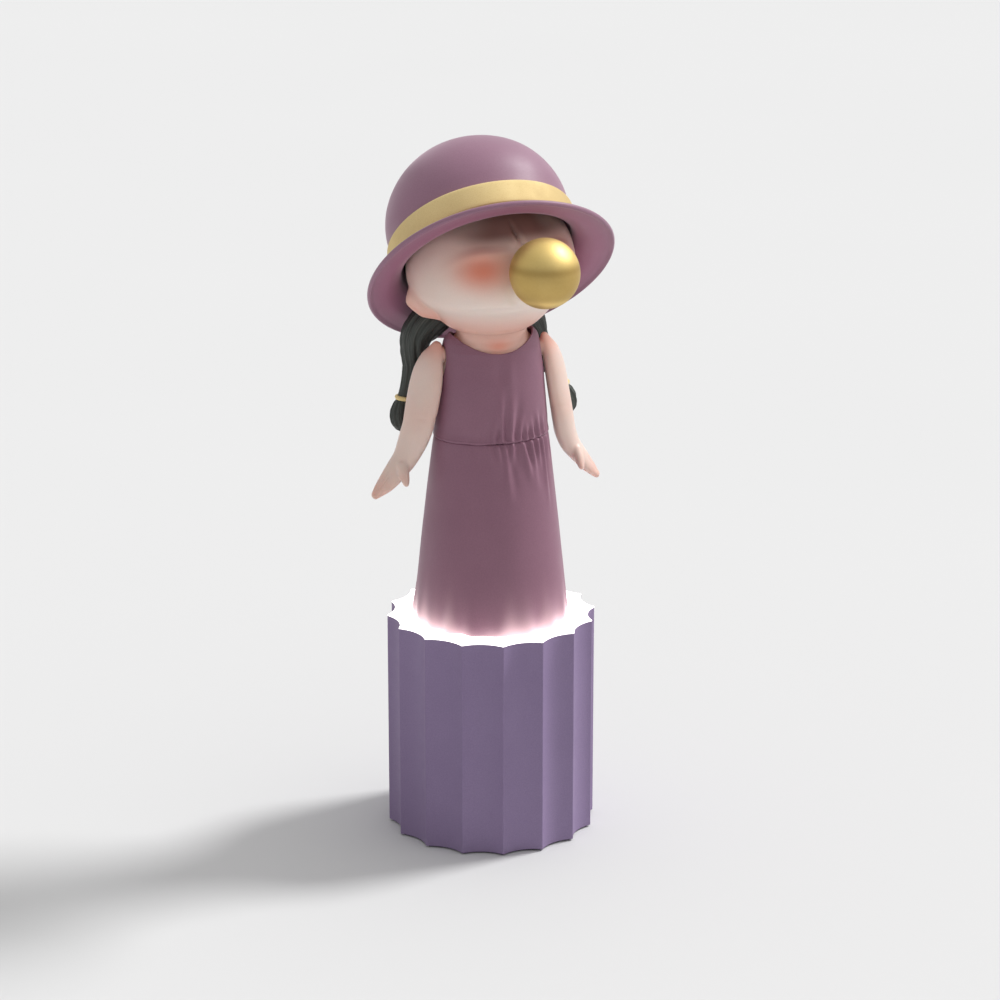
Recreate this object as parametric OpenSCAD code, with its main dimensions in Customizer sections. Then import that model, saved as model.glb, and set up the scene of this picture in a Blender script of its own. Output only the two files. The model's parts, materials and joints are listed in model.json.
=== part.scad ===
/* [Pedestal] */
// Radius over the sharp arrises of the fluted column
tip_r = 53; // [45:0.5:60]
// Radius at the bottom of a flute
flute_bottom_r = 49; // [40:0.5:56]
// Number of flutes round the column
flutes = 16; // [12:1:20]
// Height of the lit top face above the floor
plate_z = 112.5; // [90:0.5:130]
// Wall thickness of the column
wall = 2.6; // [1.8:0.1:4]

/* [Dress] */
// Height of the waist seam above the floor
waist_z = 208; // [200:0.5:216]
// Half width of the waist, side to side
waist_a = 29; // [26:0.5:30]
// Half depth of the waist, front to back
waist_b = 22.4; // [20:0.5:26]
// Radius of the hem
hem_r = 39.2; // [36:0.2:41]
// Number of soft folds round the hem
hem_folds = 18; // [8:1:20]
// How far each hem fold stands out
hem_wave = 0.7; // [0:0.1:1.2]
// Thickness of the moulded dress
cloth = 1.8; // [1.2:0.1:2.4]

/* [Head and hat] */
// Turn of the head to the figure's left, in degrees
head_turn = 10; // [0:1:15]
// Half width of the head, side to side
head_a = 43; // [38:0.5:43]
// Half depth of the head, front to back
head_b = 37.5; // [35:0.5:38]
// Height of the widest place on the head
cheek_z = 293; // [291:0.5:294]
// Backward tilt of the hat, in degrees
hat_tilt = 44.8; // [30:0.2:50]
// Sideways tilt of the hat, in degrees
hat_roll = 5.5; // [-8:0.5:8]
// Radius of the hat's crown
crown_r = 46; // [44:0.5:48]
// Outer radius of the hat's brim
brim_r = 62.8; // [58:0.2:66]
// Radius of the gold bubble
bubble_r = 17.1; // [14:0.1:17.2]

/* [Moving parts] */
// Radius of the two shoulder pegs
shoulder_peg_r = 3; // [2.5:0.1:3.5]
// Radius of the neck peg
neck_peg_r = 6; // [5:0.5:7]
// Play between a turning peg and its hole
running_gap = 0.06; // [0.02:0.01:0.1]
// Travel of the power slider
slider_travel = 3; // [2:0.5:3]

/* [Hidden] */
$fn = 64;
eps = 0.01;

// colours
MAUVE = [0.60, 0.45, 0.54];
LAVENDER = [0.50, 0.42, 0.58];
GOLD = [0.80, 0.67, 0.38];
SKIN = [0.86, 0.74, 0.69];
HAIR = [0.16, 0.17, 0.16];
OPAL = [0.97, 0.97, 0.95];
STEEL = [0.66, 0.67, 0.69];
GREEN = [0.12, 0.36, 0.22];
DARK = [0.12, 0.12, 0.13];

// ---- pedestal frame -------------------------------------------------
pad_h = 1;                       // the soft pad that the column stands on
base_top = 4.6;                  // top of the base plate
flange_h = 0.4;                  // edge of the lit plate over the wall
shell_top = plate_z - flange_h;
tray_z = 94;                     // underside of the reflector tray
tray_t = 2;
lens_z = shell_top - 2.1;        // underside of the lit plate
// A flute is an arc through two arrises and the flute bottom
half_step = 180 / flutes;
chord = tip_r * sin(half_step);
sagitta = tip_r * cos(half_step) - flute_bottom_r;
flute_r = (chord * chord + sagitta * sagitta) / (2 * sagitta);
flute_c = flute_bottom_r + flute_r;
blunt = 0.2;                     // flat left on each arris

// columns inside the pedestal that take the tray and base screws
column_r = 4;
column_at = 41;
column_angles = [60, 120, 240, 300];
pilot_r = 1.25;
screw_r = 1.5;

// battery bay for three AAA cells side by side
cell_r = 5.25;
cell_l = 44.5;
cell_x = [9.4, 19.9, 30.4];
cell_z = 11;
bay = [4, 35.8];                 // inside faces of the bay along X
bay_y = 23.5;                    // half length of the bay
bay_top = 16.6;
bay_wall = 1.5;
door_t = 2.4;
door_z = 2.6;                    // middle of the door and of its pins
door_pin_r = 0.9;
door_pin_y = 22;
door_x = [4.8, 35];

// power switch
switch_at = [-22, 0];
slot_w = 3.4;
knob_w = 3;
knob_l = 4;

// ---- figure frame ---------------------------------------------------
neck_z = 262;                    // joint between the neck and the head
neck_r = 14.8;
head_gap = 0.3;
head_floor = 2.5;
shell_t = 2.5;
chin_h = 33.5;                   // half height of the head below the cheeks
brow_h = 40;                     // half height of the head above the cheeks
hair_t = 1.4;
hair_y = 16;                     // front edge of the back hair
ear_r = 6.2;
ear_at = [32.8, 2, 274.5];
bubble_at = [0, -55.3, 301.2];
mouth_at = [0, -33.5, 287.5];
peg_r = 1.6;
shoulder_z = 249.6;
arm_in_x = 26.4;                 // inner face of an arm's boss
arm_lean = 37;
tie_z = 222.4;                   // hair ties
post_r = 6;
body_bottom = 212;
dress_top = 261.3;               // top of the shoulder straps
scoop_r = 33.7;                  // radius of the neckline
scoop_z = 286.1;
skin_gap = 0.05;                 // play between the body and the dress
lead_at = [-19, 15];             // hole that the lamp leads rise through

// hat, in its own frame with the brim's edge at height 0
hat_z = 291.2;
crown_h = 42;                    // half height of the crown's dome
crown_c = 26.8;                  // height of the dome's middle
brim_root = 8.5;                 // where the brim leaves the crown
hat_t = 2.4;
band_top = 21.3;
band_low = 9;
band_t = 1.6;

// Half width and half depth of the dress at height z
function bodice_a(z) = lookup(z, [[waist_z, waist_a], [214, 28.8], [226, 27.9],
    [238, 26.9], [246, 25.8], [250, 25.2], [253, 24.8], [256, 24.3], [258, 23.6], [260, 21.8],
    [dress_top, 17.5]]);
function bodice_b(z) = lookup(z, [[waist_z, waist_b], [226, 21.2], [238, 19.6],
    [246, 18.2], [252, 16.8], [256, 14.6], [259, 11.8], [dress_top, 6.5]]);
function lining(z) = z - cloth * max(0, z - 250) / (dress_top - 250);
function skirt_f(z) = (waist_z - z) / (waist_z - plate_z);
function skirt_a(z) = waist_a + (hem_r - waist_a) * pow(skirt_f(z), 0.92);
function skirt_b(z) = waist_b + (hem_r - waist_b) * pow(skirt_f(z), 0.8);
function fold(z) = hem_wave * pow(max(0, 1 - (z - plate_z) / 24), 2);
function tuck(z) = 0.6 * pow(max(0, 1 - (z - plate_z) / 6), 2);

// A level ring of n points on an ellipse, with waves round it
function ring(a, b, z, n, wave = 0, waves = 0) = [for (i = [0 : n - 1])
    let (t = 360 * i / n, w = wave * cos(waves * t))
    [(a + w) * cos(t), (b + w) * sin(t), z]];

// Level rings of the head from height low to its crown, two half ellipses that meet at the cheeks
function head_rings(low, grow, steps) = let (t0 = -asin((cheek_z - low) / (chin_h + grow)))
    [for (i = [0 : steps]) let (t = t0 + (88 - t0) * i / steps)
        ring((head_a + grow) * cos(t), (head_b + grow) * cos(t),
            cheek_z + (t < 0 ? chin_h + grow : brow_h + grow) * sin(t), 48)];

// Hat outline from the middle of the crown out to the brim's edge
function hat_line(grow, drop, steps = 14) = concat(
    [for (i = [0 : steps]) let (t = 90 - 90 * i / steps)
        [(crown_r + grow) * cos(t), crown_c + (crown_h + grow) * sin(t)]],
    [for (i = [0 : steps]) let (t = 90 * i / steps)
        [crown_r + grow + (brim_r - 0.9 - crown_r - grow) * (1 - cos(t)),
         brim_root * (1 - sin(t)) - drop * sin(t)]]);

function rev(list) = [for (i = [len(list) - 1 : -1 : 0]) list[i]];

// ---- helpers --------------------------------------------------------
// Solid through rings of equal count, listed from the bottom up
module loft(rings) {
    n = len(rings[0]);
    last = len(rings) - 1;
    faces = concat(
        [[for (i = [0 : n - 1]) i]],
        [for (k = [0 : last - 1], i = [0 : n - 1]) let (j = (i + 1) % n)
            [k * n + i, (k + 1) * n + i, (k + 1) * n + j]],
        [for (k = [0 : last - 1], i = [0 : n - 1]) let (j = (i + 1) % n)
            [k * n + i, (k + 1) * n + j, k * n + j]],
        [[for (i = [n - 1 : -1 : 0]) last * n + i]]);
    polyhedron([for (r = rings) each r], faces, convexity = 6);
}

// Closed loop of rings, such as a hollow wall or a rounded band
module loop_loft(rings) {
    n = len(rings[0]);
    m = len(rings);
    faces = concat(
        [for (k = [0 : m - 1], i = [0 : n - 1]) let (j = (i + 1) % n, l = (k + 1) % m)
            [k * n + i, l * n + i, l * n + j]],
        [for (k = [0 : m - 1], i = [0 : n - 1]) let (j = (i + 1) % n, l = (k + 1) % m)
            [k * n + i, l * n + j, k * n + j]]);
    polyhedron([for (r = rings) each r], faces, convexity = 6);
}

// Fluted outline, drawn in by inset all round, with a flute at the front
module star(inset) {
    difference() {
        circle(r = tip_r - blunt - inset, $fn = 128);
        for (k = [0 : flutes - 1])
            rotate(2 * half_step * k - 90) translate([flute_c, 0])
                circle(r = flute_r + inset, $fn = 96);
    }
}

module at_columns() {
    for (a = column_angles) rotate(a) translate([column_at, 0, 0]) children();
}

module rod_x(x0, x1, y, z, r) {
    translate([x0, y, z]) rotate([0, 90, 0]) cylinder(h = x1 - x0, r = r, $fn = 48);
}

// Round rod between two points
module rod(p, q, r) {
    d = q - p;
    translate(p) rotate([0, acos(d[2] / norm(d)), atan2(d[1], d[0])])
        cylinder(h = norm(d), r = r, $fn = 24);
}

// Insulated wire with eight flats, mitred at each bend of its route
function unit(v) = v / norm(v);
function heading(points, i) = unit(
    (i > 0 ? unit(points[i] - points[i - 1]) : [0, 0, 0]) +
    (i < len(points) - 1 ? unit(points[i + 1] - points[i]) : [0, 0, 0]));
function wire_ring(p, d, r) = let (u = unit(cross([0.36, 0.93, 0.1], d)), v = cross(d, u))
    [for (k = [0 : 7]) p + r * (cos(45 * k) * u + sin(45 * k) * v)];
module wire(points, r) {
    loft([for (i = [0 : len(points) - 1]) wire_ring(points[i], heading(points, i), r)]);
}

module turned() { rotate([0, 0, head_turn]) children(); }

module hat_frame() {
    turned() translate([0, 0, hat_z]) rotate([-hat_tilt, 0, 0]) rotate([0, hat_roll, 0])
        children();
}

module head_solid(grow) { loft(head_rings(neck_z + head_gap, grow, 14)); }

// Cap screw with its head below, pointing up from the origin
module cap_screw(shank_r, shank_l, head_rad, head_l) {
    difference() {
        union() {
            cylinder(h = shank_l, r = shank_r, $fn = 32);
            translate([0, 0, -head_l]) cylinder(h = head_l, r = head_rad, $fn = 32);
        }
        translate([0, 0, -head_l - eps]) cylinder(h = head_l * 0.6, r = shank_r * 0.8, $fn = 6);
    }
}

// ---- hat ------------------------------------------------------------
module hat_shell() {
    color(MAUVE) hat_frame() rotate_extrude($fn = 128)
        polygon(concat(hat_line(0, 0), [[brim_r, -hat_t * 0.3], [brim_r, -hat_t * 0.7]],
            rev(hat_line(-hat_t, hat_t))));
}

module hat_band() {
    color(GOLD) hat_frame() rotate_extrude($fn = 128)
        translate([crown_r, 0]) polygon([[0, band_low], [band_t, band_low],
            [band_t + 0.2, (band_low + band_top) / 2], [band_t, band_top - 0.3],
            [band_t - 0.4, band_top], [0, band_top]]);
}

// Glued plug that carries the hat on the crown of the head
module hat_plug() {
    color(OPAL) difference() {
        hat_frame() translate([0, 0, 30]) cylinder(h = crown_c + crown_h - hat_t - 30.6, r = 7);
        turned() head_solid(hair_t);
    }
}

// ---- head -----------------------------------------------------------
module head_shell() {
    floor_z = neck_z + head_gap;
    color(SKIN) turned() difference() {
        union() {
            head_solid(0);
            for (s = [-1, 1]) translate([s * ear_at[0], ear_at[1], ear_at[2]]) sphere(r = ear_r);
        }
        loft(head_rings(floor_z + head_floor, -shell_t, 12));
        translate([0, 0, floor_z - eps]) cylinder(h = head_floor + 1,
            r = neck_peg_r + running_gap);
        rod(mouth_at, bubble_at, peg_r);
    }
}

// Hair moulded over the back of the head, under the hat
module hair_cap() {
    color(HAIR) turned() difference() {
        intersection() {
            head_solid(hair_t);
            translate([-50, hair_y, 240]) cube([100, 40, 100]);
        }
        head_solid(0);
    }
}

// Ponytail that leaves the nape, narrows at its tie and ends in a bulb; side is 1 on the left.
// The head's turn carries the right one forward and the left one back.
module ponytail(side) {
    joints = side > 0 ? [[22, 21, 264, 8.4], [29.2, 24, 254, 7.3], [34.5, 24, 241, 5.6],
            [44.6, 23, tie_z, 3.5], [46.8, 23, 214.2, 5.6], [47, 23, 209.6, 4.8]]
        : [[-27, 13.5, 264, 8.4], [-34.2, 16, 254, 7.6], [-33.9, 19, 241, 5.6],
            [-38.6, 22, tie_z, 3.5], [-39.9, 22.5, 214.2, 5.6], [-40.1, 22.5, 209.6, 4.8]];
    color(HAIR) difference() {
        for (i = [0 : len(joints) - 2]) hull() for (j = [i, i + 1])
            translate([joints[j][0], joints[j][1], joints[j][2]])
                sphere(r = joints[j][3], $fn = 16);
        turned() head_solid(hair_t);
        tail_tie_shape(side);
    }
}

module tail_tie_shape(side) {
    translate(side > 0 ? [44.6, 23, tie_z - 1] : [-38.6, 22, tie_z - 1])
        rotate([0, side * -8, 0]) rotate_extrude($fn = 48)
            translate([3, 0]) polygon([[0, 0], [1.4, 0], [1.7, 1.1], [1.4, 2.2], [0, 2.2]]);
}

module bubble() {
    color(GOLD) turned() difference() {
        translate(bubble_at) sphere(r = bubble_r, $fn = 96);
        rod(mouth_at, bubble_at, peg_r);
    }
}

module bubble_peg() {
    color(GOLD) turned() rod(mouth_at, bubble_at, peg_r);
}

// Mushroom peg that the head turns on
module neck_peg() {
    top = neck_z + head_gap + head_floor + 0.3;
    color(OPAL) rotate_extrude() polygon([[0, 246], [neck_peg_r, 246], [neck_peg_r, top],
        [neck_peg_r + 3.5, top], [neck_peg_r + 3, top + 2], [0, top + 2]]);
}

// ---- body -----------------------------------------------------------
module upper_body() {
    levels = [body_bottom, 220, 228, 238, 246, 250, 253, 256, 258.5, 260, dress_top];
    skin = cloth + skin_gap;
    color(SKIN) difference() {
        union() {
            loft([for (z = levels) ring(bodice_a(z) - skin, bodice_b(z) - skin,
                lining(z) - eps, 48)]);
            translate([0, 0, 246]) cylinder(h = neck_z - 246, r1 = neck_r + 0.4, r2 = neck_r);
        }
        translate([0, 0, 246]) cylinder(h = neck_z - 246 + eps, r = neck_peg_r);
        translate([0, 0, body_bottom - eps]) cylinder(h = 10, r = post_r);
        for (s = [-1, 1]) scale_x(s) {
            rod_x(14, 26, 0, shoulder_z, shoulder_peg_r);
        }
    }
}

module scale_x(s) { if (s < 0) mirror([1, 0, 0]) children(); else children(); }

module bodice() {
    levels = [waist_z + 1.2, 214, 220, 228, 238, 246, 250, 253, 256, 258.5, 260, dress_top];
    outer = [for (z = levels) ring(bodice_a(z), bodice_b(z), z, 48)];
    inner = [for (z = rev(levels)) ring(bodice_a(z) - cloth, bodice_b(z) - cloth, lining(z), 48)];
    color(MAUVE) difference() {
        loop_loft(concat(rev(inner), rev(outer)));
        translate([0, 0, scoop_z]) rotate([90 + 3, 0, 0])
            cylinder(h = 60, r = scoop_r, center = true);
        translate([0, 0, 240]) cylinder(h = 30, r = neck_r + 0.5);
        for (s = [-1, 1]) scale_x(s) rod_x(14, 30, 0, shoulder_z, shoulder_peg_r + 0.3);
    }
}

module waist_band() {
    r = 1.2;
    color(MAUVE) loop_loft([for (k = [0 : 7]) let (t = -45 * k)
        ring(waist_a - 0.2 + r * cos(t), waist_b - 0.2 + r * cos(t), waist_z + r * sin(t), 48)]);
}

module waist_disc() {
    color(OPAL) translate([0, 0, waist_z - 2]) difference() {
        cylinder(h = 4, r = waist_b - cloth - 0.6);
        translate([0, 0, -eps]) cylinder(h = 5, r = post_r);
    }
}

module skirt() {
    levels = [plate_z, 113.2, 114.5, 116.5, 119, 123, 128, 136, 148, 162, 176, 190,
        waist_z - 1.2];
    n = hem_folds * 4;
    outer = [for (z = levels) ring(skirt_a(z) - tuck(z), skirt_b(z) - tuck(z), z, n, fold(z),
        hem_folds)];
    inner = [for (z = rev(levels)) ring(skirt_a(z) - tuck(z) - cloth,
        skirt_b(z) - tuck(z) - cloth, z, n)];
    color(MAUVE) loop_loft(rev(concat(outer, inner)));
}

// Arm with its mitten hand, a little flat and leaning round the body; side is 1 on the left.
// A knob is its middle, then half its thickness, width and height.
module arm(side) {
    knobs = [[28.7, 0, 252.6, 2.7, 4.2, 3.2], [31.6, -0.3, 246, 3.8, 7.4, 5],
        [33.4, -0.5, 238, 4.3, 9.2, 5], [35.7, 0, 225, 4.5, 9.4, 5], [37.8, 0.8, 214, 4.8, 8.5, 5],
        [40.7, 4, 203, 4.8, 7.8, 5], [44, 4.8, 195.5, 4.6, 6.8, 4.6],
        [51, 5.2, 186, 3.4, 6, 3.4], [58.4, 6.8, 177.8, 2, 2.8, 2.2]];
    color(SKIN) scale_x(side) difference() {
        union() {
            for (i = [0 : len(knobs) - 2]) knob_link(knobs[i], knobs[i + 1]);
            knob_link([46, 0, 192, 3.2, 4, 3.2], [46, -5.4, 187.4, 1.9, 1.9, 2.2]);
            rod_x(arm_in_x, 30, 0, shoulder_z, 4.6);
        }
        rod_x(22, 30.7, 0, shoulder_z, shoulder_peg_r + running_gap);
    }
}

module knob_link(p, q) {
    hull() for (k = [p, q])
        translate([k[0], k[1], k[2]]) rotate([0, 0, -arm_lean])
            scale([k[3], k[4], k[5]]) sphere(r = 1, $fn = 16);
}

module shoulder_peg(side) {
    color(OPAL) scale_x(side) rod_x(14, 30.5, 0, shoulder_z, shoulder_peg_r);
}

module core_post() {
    color(STEEL) translate([0, 0, 128]) difference() {
        cylinder(h = 93.8, r = post_r);
        translate([0, 0, -eps]) cylinder(h = 95, r = post_r - 1.5);
    }
}

module figure_foot() {
    color(OPAL) difference() {
        union() {
            translate([0, 0, plate_z]) cylinder(h = 4, r = 32.2);
            translate([0, 0, plate_z]) cylinder(h = 27, r = 9);
        }
        translate([0, 0, plate_z - eps]) cylinder(h = 12, r = 4.5);
        translate([0, 0, 128]) cylinder(h = 12, r = post_r);
    }
}

module foot_insert() {
    color(GOLD) translate([0, 0, plate_z]) difference() {
        cylinder(h = 12 - eps, r = 4.5);
        translate([0, 0, -eps]) cylinder(h = 13, r = 2.5);
    }
}

module figure_screw() {
    color(STEEL) translate([0, 0, tray_z]) cap_screw(2.5, 29, 4.5, 3);
}

// ---- lit top --------------------------------------------------------
module diffuser_plate() {
    color(OPAL) difference() {
        union() {
            translate([0, 0, shell_top]) linear_extrude(flange_h) star(0);
            translate([0, 0, lens_z]) linear_extrude(shell_top - lens_z) star(wall + 0.2);
        }
        translate([0, 0, lens_z - eps]) cylinder(h = 5, r = 2.8);
    }
}

module reflector_tray() {
    color(OPAL) difference() {
        union() {
            translate([0, 0, tray_z]) cylinder(h = tray_t, r = 46);
            translate([0, 0, tray_z]) difference() {
                cylinder(h = lens_z - tray_z, r = 46);
                translate([0, 0, -1]) cylinder(h = lens_z - tray_z + 2, r = 44.6);
            }
            translate([0, 0, tray_z]) cylinder(h = lens_z - tray_z, r = 11);
        }
        translate([0, 0, tray_z - eps]) cylinder(h = 20, r = 2.8);
        translate([0, 0, tray_z - eps]) at_columns() cylinder(h = 5, r = screw_r + 0.1);
        translate([lead_at[0], lead_at[1], tray_z - eps]) cylinder(h = 5, r = 2.4);
    }
}

module tray_screws() {
    color(STEEL) at_columns() translate([0, 0, tray_z + tray_t]) rotate([180, 0, 0])
        cap_screw(pilot_r, 10, 2.6, 1.8);
}

module led_board() {
    color(OPAL) translate([0, 0, tray_z + tray_t]) difference() {
        cylinder(h = 1.6, r = 37.4);
        translate([0, 0, -eps]) cylinder(h = 3, r = 12);
        translate([lead_at[0], lead_at[1], -eps]) cylinder(h = 3, r = 2.4);
    }
}

module led_chips() {
    color([1, 0.93, 0.7]) for (k = [0 : 15]) rotate(22.5 * k + 11.25)
        translate([31, -2.5, tray_z + tray_t + 1.6]) cube([5, 5, 1.5]);
}

// ---- pedestal -------------------------------------------------------
module pedestal_shell() {
    color(LAVENDER) difference() {
        union() {
            translate([0, 0, pad_h]) linear_extrude(shell_top - pad_h) difference() {
                star(0);
                star(wall);
            }
            at_columns() translate([0, 0, base_top]) cylinder(h = tray_z - base_top, r = column_r);
            at_columns() translate([2, -1, base_top]) cube([6.6, 2, tray_z - base_top]);
        }
        at_columns() translate([0, 0, base_top - eps]) cylinder(h = 12, r = pilot_r);
        at_columns() translate([0, 0, tray_z - 12]) cylinder(h = 12 + eps, r = pilot_r);
    }
}

module base_plate() {
    color(DARK) difference() {
        translate([0, 0, pad_h]) linear_extrude(base_top - pad_h) star(wall + 0.2);
        // battery opening, with holes for the door's pins
        translate([bay[0] + 0.5, -bay_y, 0]) cube([bay[1] - bay[0] - 1, 2 * bay_y, 6]);
        rod_x(door_x[0] - 2, door_x[1] + 2, door_pin_y, door_z, door_pin_r + running_gap);
        // finger notch beside the door
        translate([16, -bay_y - 3, 0]) cube([8, 4, 2.6]);
        // slot for the power slider
        translate([switch_at[0] - slot_w / 2, switch_at[1] - 4, 0]) cube([slot_w, 8, 6]);
        at_columns() cylinder(h = 6, r = screw_r + 0.1);
        at_columns() cylinder(h = 2.8, r = 3);
    }
}

module base_screws() {
    color(STEEL) at_columns() translate([0, 0, 2.8]) cap_screw(pilot_r, 10, 2.6, 1.5);
}

module base_pad() {
    color(DARK) linear_extrude(pad_h) difference() {
        star(1.6);
        translate([bay[0] - 0.5, -bay_y - 3.5]) square([bay[1] - bay[0] + 1, 2 * bay_y + 6.5]);
        translate([switch_at[0] - 4, switch_at[1] - 7]) square([8, 14]);
        for (a = column_angles) rotate(a) translate([column_at, 0]) circle(r = 3.4);
    }
}

// ---- power ----------------------------------------------------------
module battery_box() {
    color(DARK) difference() {
        translate([bay[0] - bay_wall, -bay_y - bay_wall, base_top])
            cube([bay[1] - bay[0] + 2 * bay_wall, 2 * (bay_y + bay_wall),
                bay_top + bay_wall - base_top]);
        translate([bay[0], -bay_y, base_top - 1])
            cube([bay[1] - bay[0], 2 * bay_y, bay_top - base_top + 1]);
    }
}

module battery_cells() {
    color([0.35, 0.45, 0.4]) for (x = cell_x) translate([x, -cell_l / 2, cell_z])
        rotate([-90, 0, 0]) {
            cylinder(h = cell_l - 1, r = cell_r - 0.05, $fn = 48);
            cylinder(h = cell_l, r = 1.9, $fn = 32);
        }
}

module battery_contacts() {
    color(STEEL) for (x = cell_x, s = [-1, 1])
        translate([x - 3.5, s > 0 ? bay_y - 0.5 : -bay_y, cell_z - 4]) cube([7, 0.5, 8]);
}

// Door with a round hinge edge and its two pins, closed
module battery_door() {
    half_t = door_t / 2;
    color(DARK) union() {
        translate([door_x[0], -bay_y + 0.3, door_z - half_t])
            cube([door_x[1] - door_x[0], bay_y - 0.3 + door_pin_y, door_t]);
        rod_x(door_x[0], door_x[1], door_pin_y, door_z, half_t);
        rod_x(door_x[0] - 1.6, door_x[1] + 1.6, door_pin_y, door_z, door_pin_r);
    }
}

module driver_board() {
    color(GREEN) translate([-40, 8, 9]) cube([22, 20, 1.6]);
    color(OPAL) for (x = [-38, -20], y = [10, 26])
        translate([x, y, base_top]) cylinder(h = 9 - base_top, r = 1.6, $fn = 32);
}

module driver_chips() {
    color(DARK) {
        translate([-36, 12, 10.6]) cube([6, 5, 1.6]);
        translate([-27, 18, 10.6]) cube([5, 6, 2.4]);
        translate([-34, 23, 10.6]) cylinder(h = 5, r = 2.2, $fn = 32);
    }
}

module switch_body() {
    color(STEEL) translate([switch_at[0] - 4, switch_at[1] - 7.5, base_top]) difference() {
        cube([8, 15, 5.4]);
        translate([4 - slot_w / 2, 3, -eps]) cube([slot_w, 9, 3.4]);
    }
}

// Slider in its off position; it travels along +Y
module switch_slider() {
    y0 = switch_at[1] - (slider_travel + knob_l) / 2;
    color(OPAL) translate([switch_at[0] - knob_w / 2, y0, 1.4]) difference() {
        cube([knob_w, knob_l, 6]);
        for (k = [0 : 2]) translate([-1, 0.6 + 1.1 * k, -eps]) cube([knob_w + 2, 0.5, 0.4]);
    }
}

// Leads from the battery bay by way of the switch and the driver to the lamps
module wire_red() {
    color([0.7, 0.1, 0.1]) {
        wire([[1.6, -18, 12], [-6, -18, 12], [-14, -12, 11], [-20, -6, 10.9]], 0.7);
        wire([[-24, 7, 10.9], [-27, 10, 13], [-26, 14, 11.4]], 0.7);
        wire([[-23, 26, 11.4], [-20, 20, 18], [lead_at[0] + 0.9, lead_at[1], 30],
            [lead_at[0] + 0.9, lead_at[1], 98.6]], 0.7);
    }
}

module wire_black() {
    color(DARK) {
        wire([[1.6, 18, 12], [-8, 20, 13], [-16, 21, 13], [-19.5, 21, 11.4]], 0.7);
        wire([[-29.5, 26.5, 11.4], [-24, 20, 18], [lead_at[0] - 0.9, lead_at[1], 30],
            [lead_at[0] - 0.9, lead_at[1], 98.6]], 0.7);
    }
}

hat_shell();
hat_band();
hat_plug();
head_shell();
hair_cap();
ponytail(1);  // ponytail_left
ponytail(-1);  // ponytail_right
color(GOLD) tail_tie_shape(1);  // tail_tie_left
color(GOLD) tail_tie_shape(-1);  // tail_tie_right
bubble();
bubble_peg();
neck_peg();
upper_body();
bodice();
waist_band();
waist_disc();
skirt();
arm(1);  // arm_left
arm(-1);  // arm_right
shoulder_peg(1);  // shoulder_peg_left
shoulder_peg(-1);  // shoulder_peg_right
core_post();
figure_foot();
foot_insert();
figure_screw();
diffuser_plate();
reflector_tray();
tray_screws();
led_board();
led_chips();
pedestal_shell();
base_plate();
base_screws();
base_pad();
battery_box();
battery_cells();
battery_contacts();
battery_door();
driver_board();
driver_chips();
switch_body();
switch_slider();
wire_red();
wire_black();
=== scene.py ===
"""Looks of the vinyl art toy: a girl in a brimmed hat blows a gold bubble on a lit, fluted column.

Sizes are in millimetres in the row frame, +Z up, with the figure facing -Y. Meshes are scaled to
metres as they are made.
"""

import json
from math import asin, atan2, copysign, cos, exp, pi, radians, sin, tan

import bmesh
import bpy
import numpy as np
from mathutils import Matrix, Vector, noise


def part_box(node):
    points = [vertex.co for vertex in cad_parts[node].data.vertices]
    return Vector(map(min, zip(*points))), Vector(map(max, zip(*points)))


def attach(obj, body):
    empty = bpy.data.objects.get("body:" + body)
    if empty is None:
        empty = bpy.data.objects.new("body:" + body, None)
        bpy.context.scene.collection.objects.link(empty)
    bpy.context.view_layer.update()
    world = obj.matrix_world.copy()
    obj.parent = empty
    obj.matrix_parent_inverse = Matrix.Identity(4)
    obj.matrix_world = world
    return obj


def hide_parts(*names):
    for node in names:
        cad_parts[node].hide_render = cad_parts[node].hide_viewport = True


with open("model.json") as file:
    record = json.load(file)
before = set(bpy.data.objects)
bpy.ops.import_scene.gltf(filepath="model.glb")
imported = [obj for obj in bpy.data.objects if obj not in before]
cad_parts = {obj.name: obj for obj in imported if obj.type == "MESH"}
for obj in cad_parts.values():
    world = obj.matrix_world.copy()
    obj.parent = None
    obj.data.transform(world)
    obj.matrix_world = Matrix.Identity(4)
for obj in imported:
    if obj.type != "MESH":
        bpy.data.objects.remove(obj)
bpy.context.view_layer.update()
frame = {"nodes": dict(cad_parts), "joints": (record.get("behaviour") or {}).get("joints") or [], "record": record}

MM = 0.001


def corners(node):
    """Lowest and highest corner of a CAD node, in millimetres."""
    low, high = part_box(node)
    return np.array(low) / MM, np.array(high) / MM


def joint_at(name):
    """Origin of a joint, in millimetres."""
    joint = next(j for j in frame["joints"] if j["name"] == name)
    return np.array(joint["pos_m"]) / MM


# ---- places taken from the frame --------------------------------------
PLATE_Z = corners("diffuser_plate")[1][2]
WAIST_Z = float(np.mean([c[2] for c in corners("waist_band")]))
NECK_Z = joint_at("neck_swivel")[2]
SHOULDER = joint_at("shoulder_left")
BUBBLE = (corners("bubble")[0] + corners("bubble")[1]) / 2
BUBBLE_R = float(corners("bubble")[1][2] - corners("bubble")[0][2]) / 2
HEAD_TURN = atan2(BUBBLE[0], -BUBBLE[1])

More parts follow.
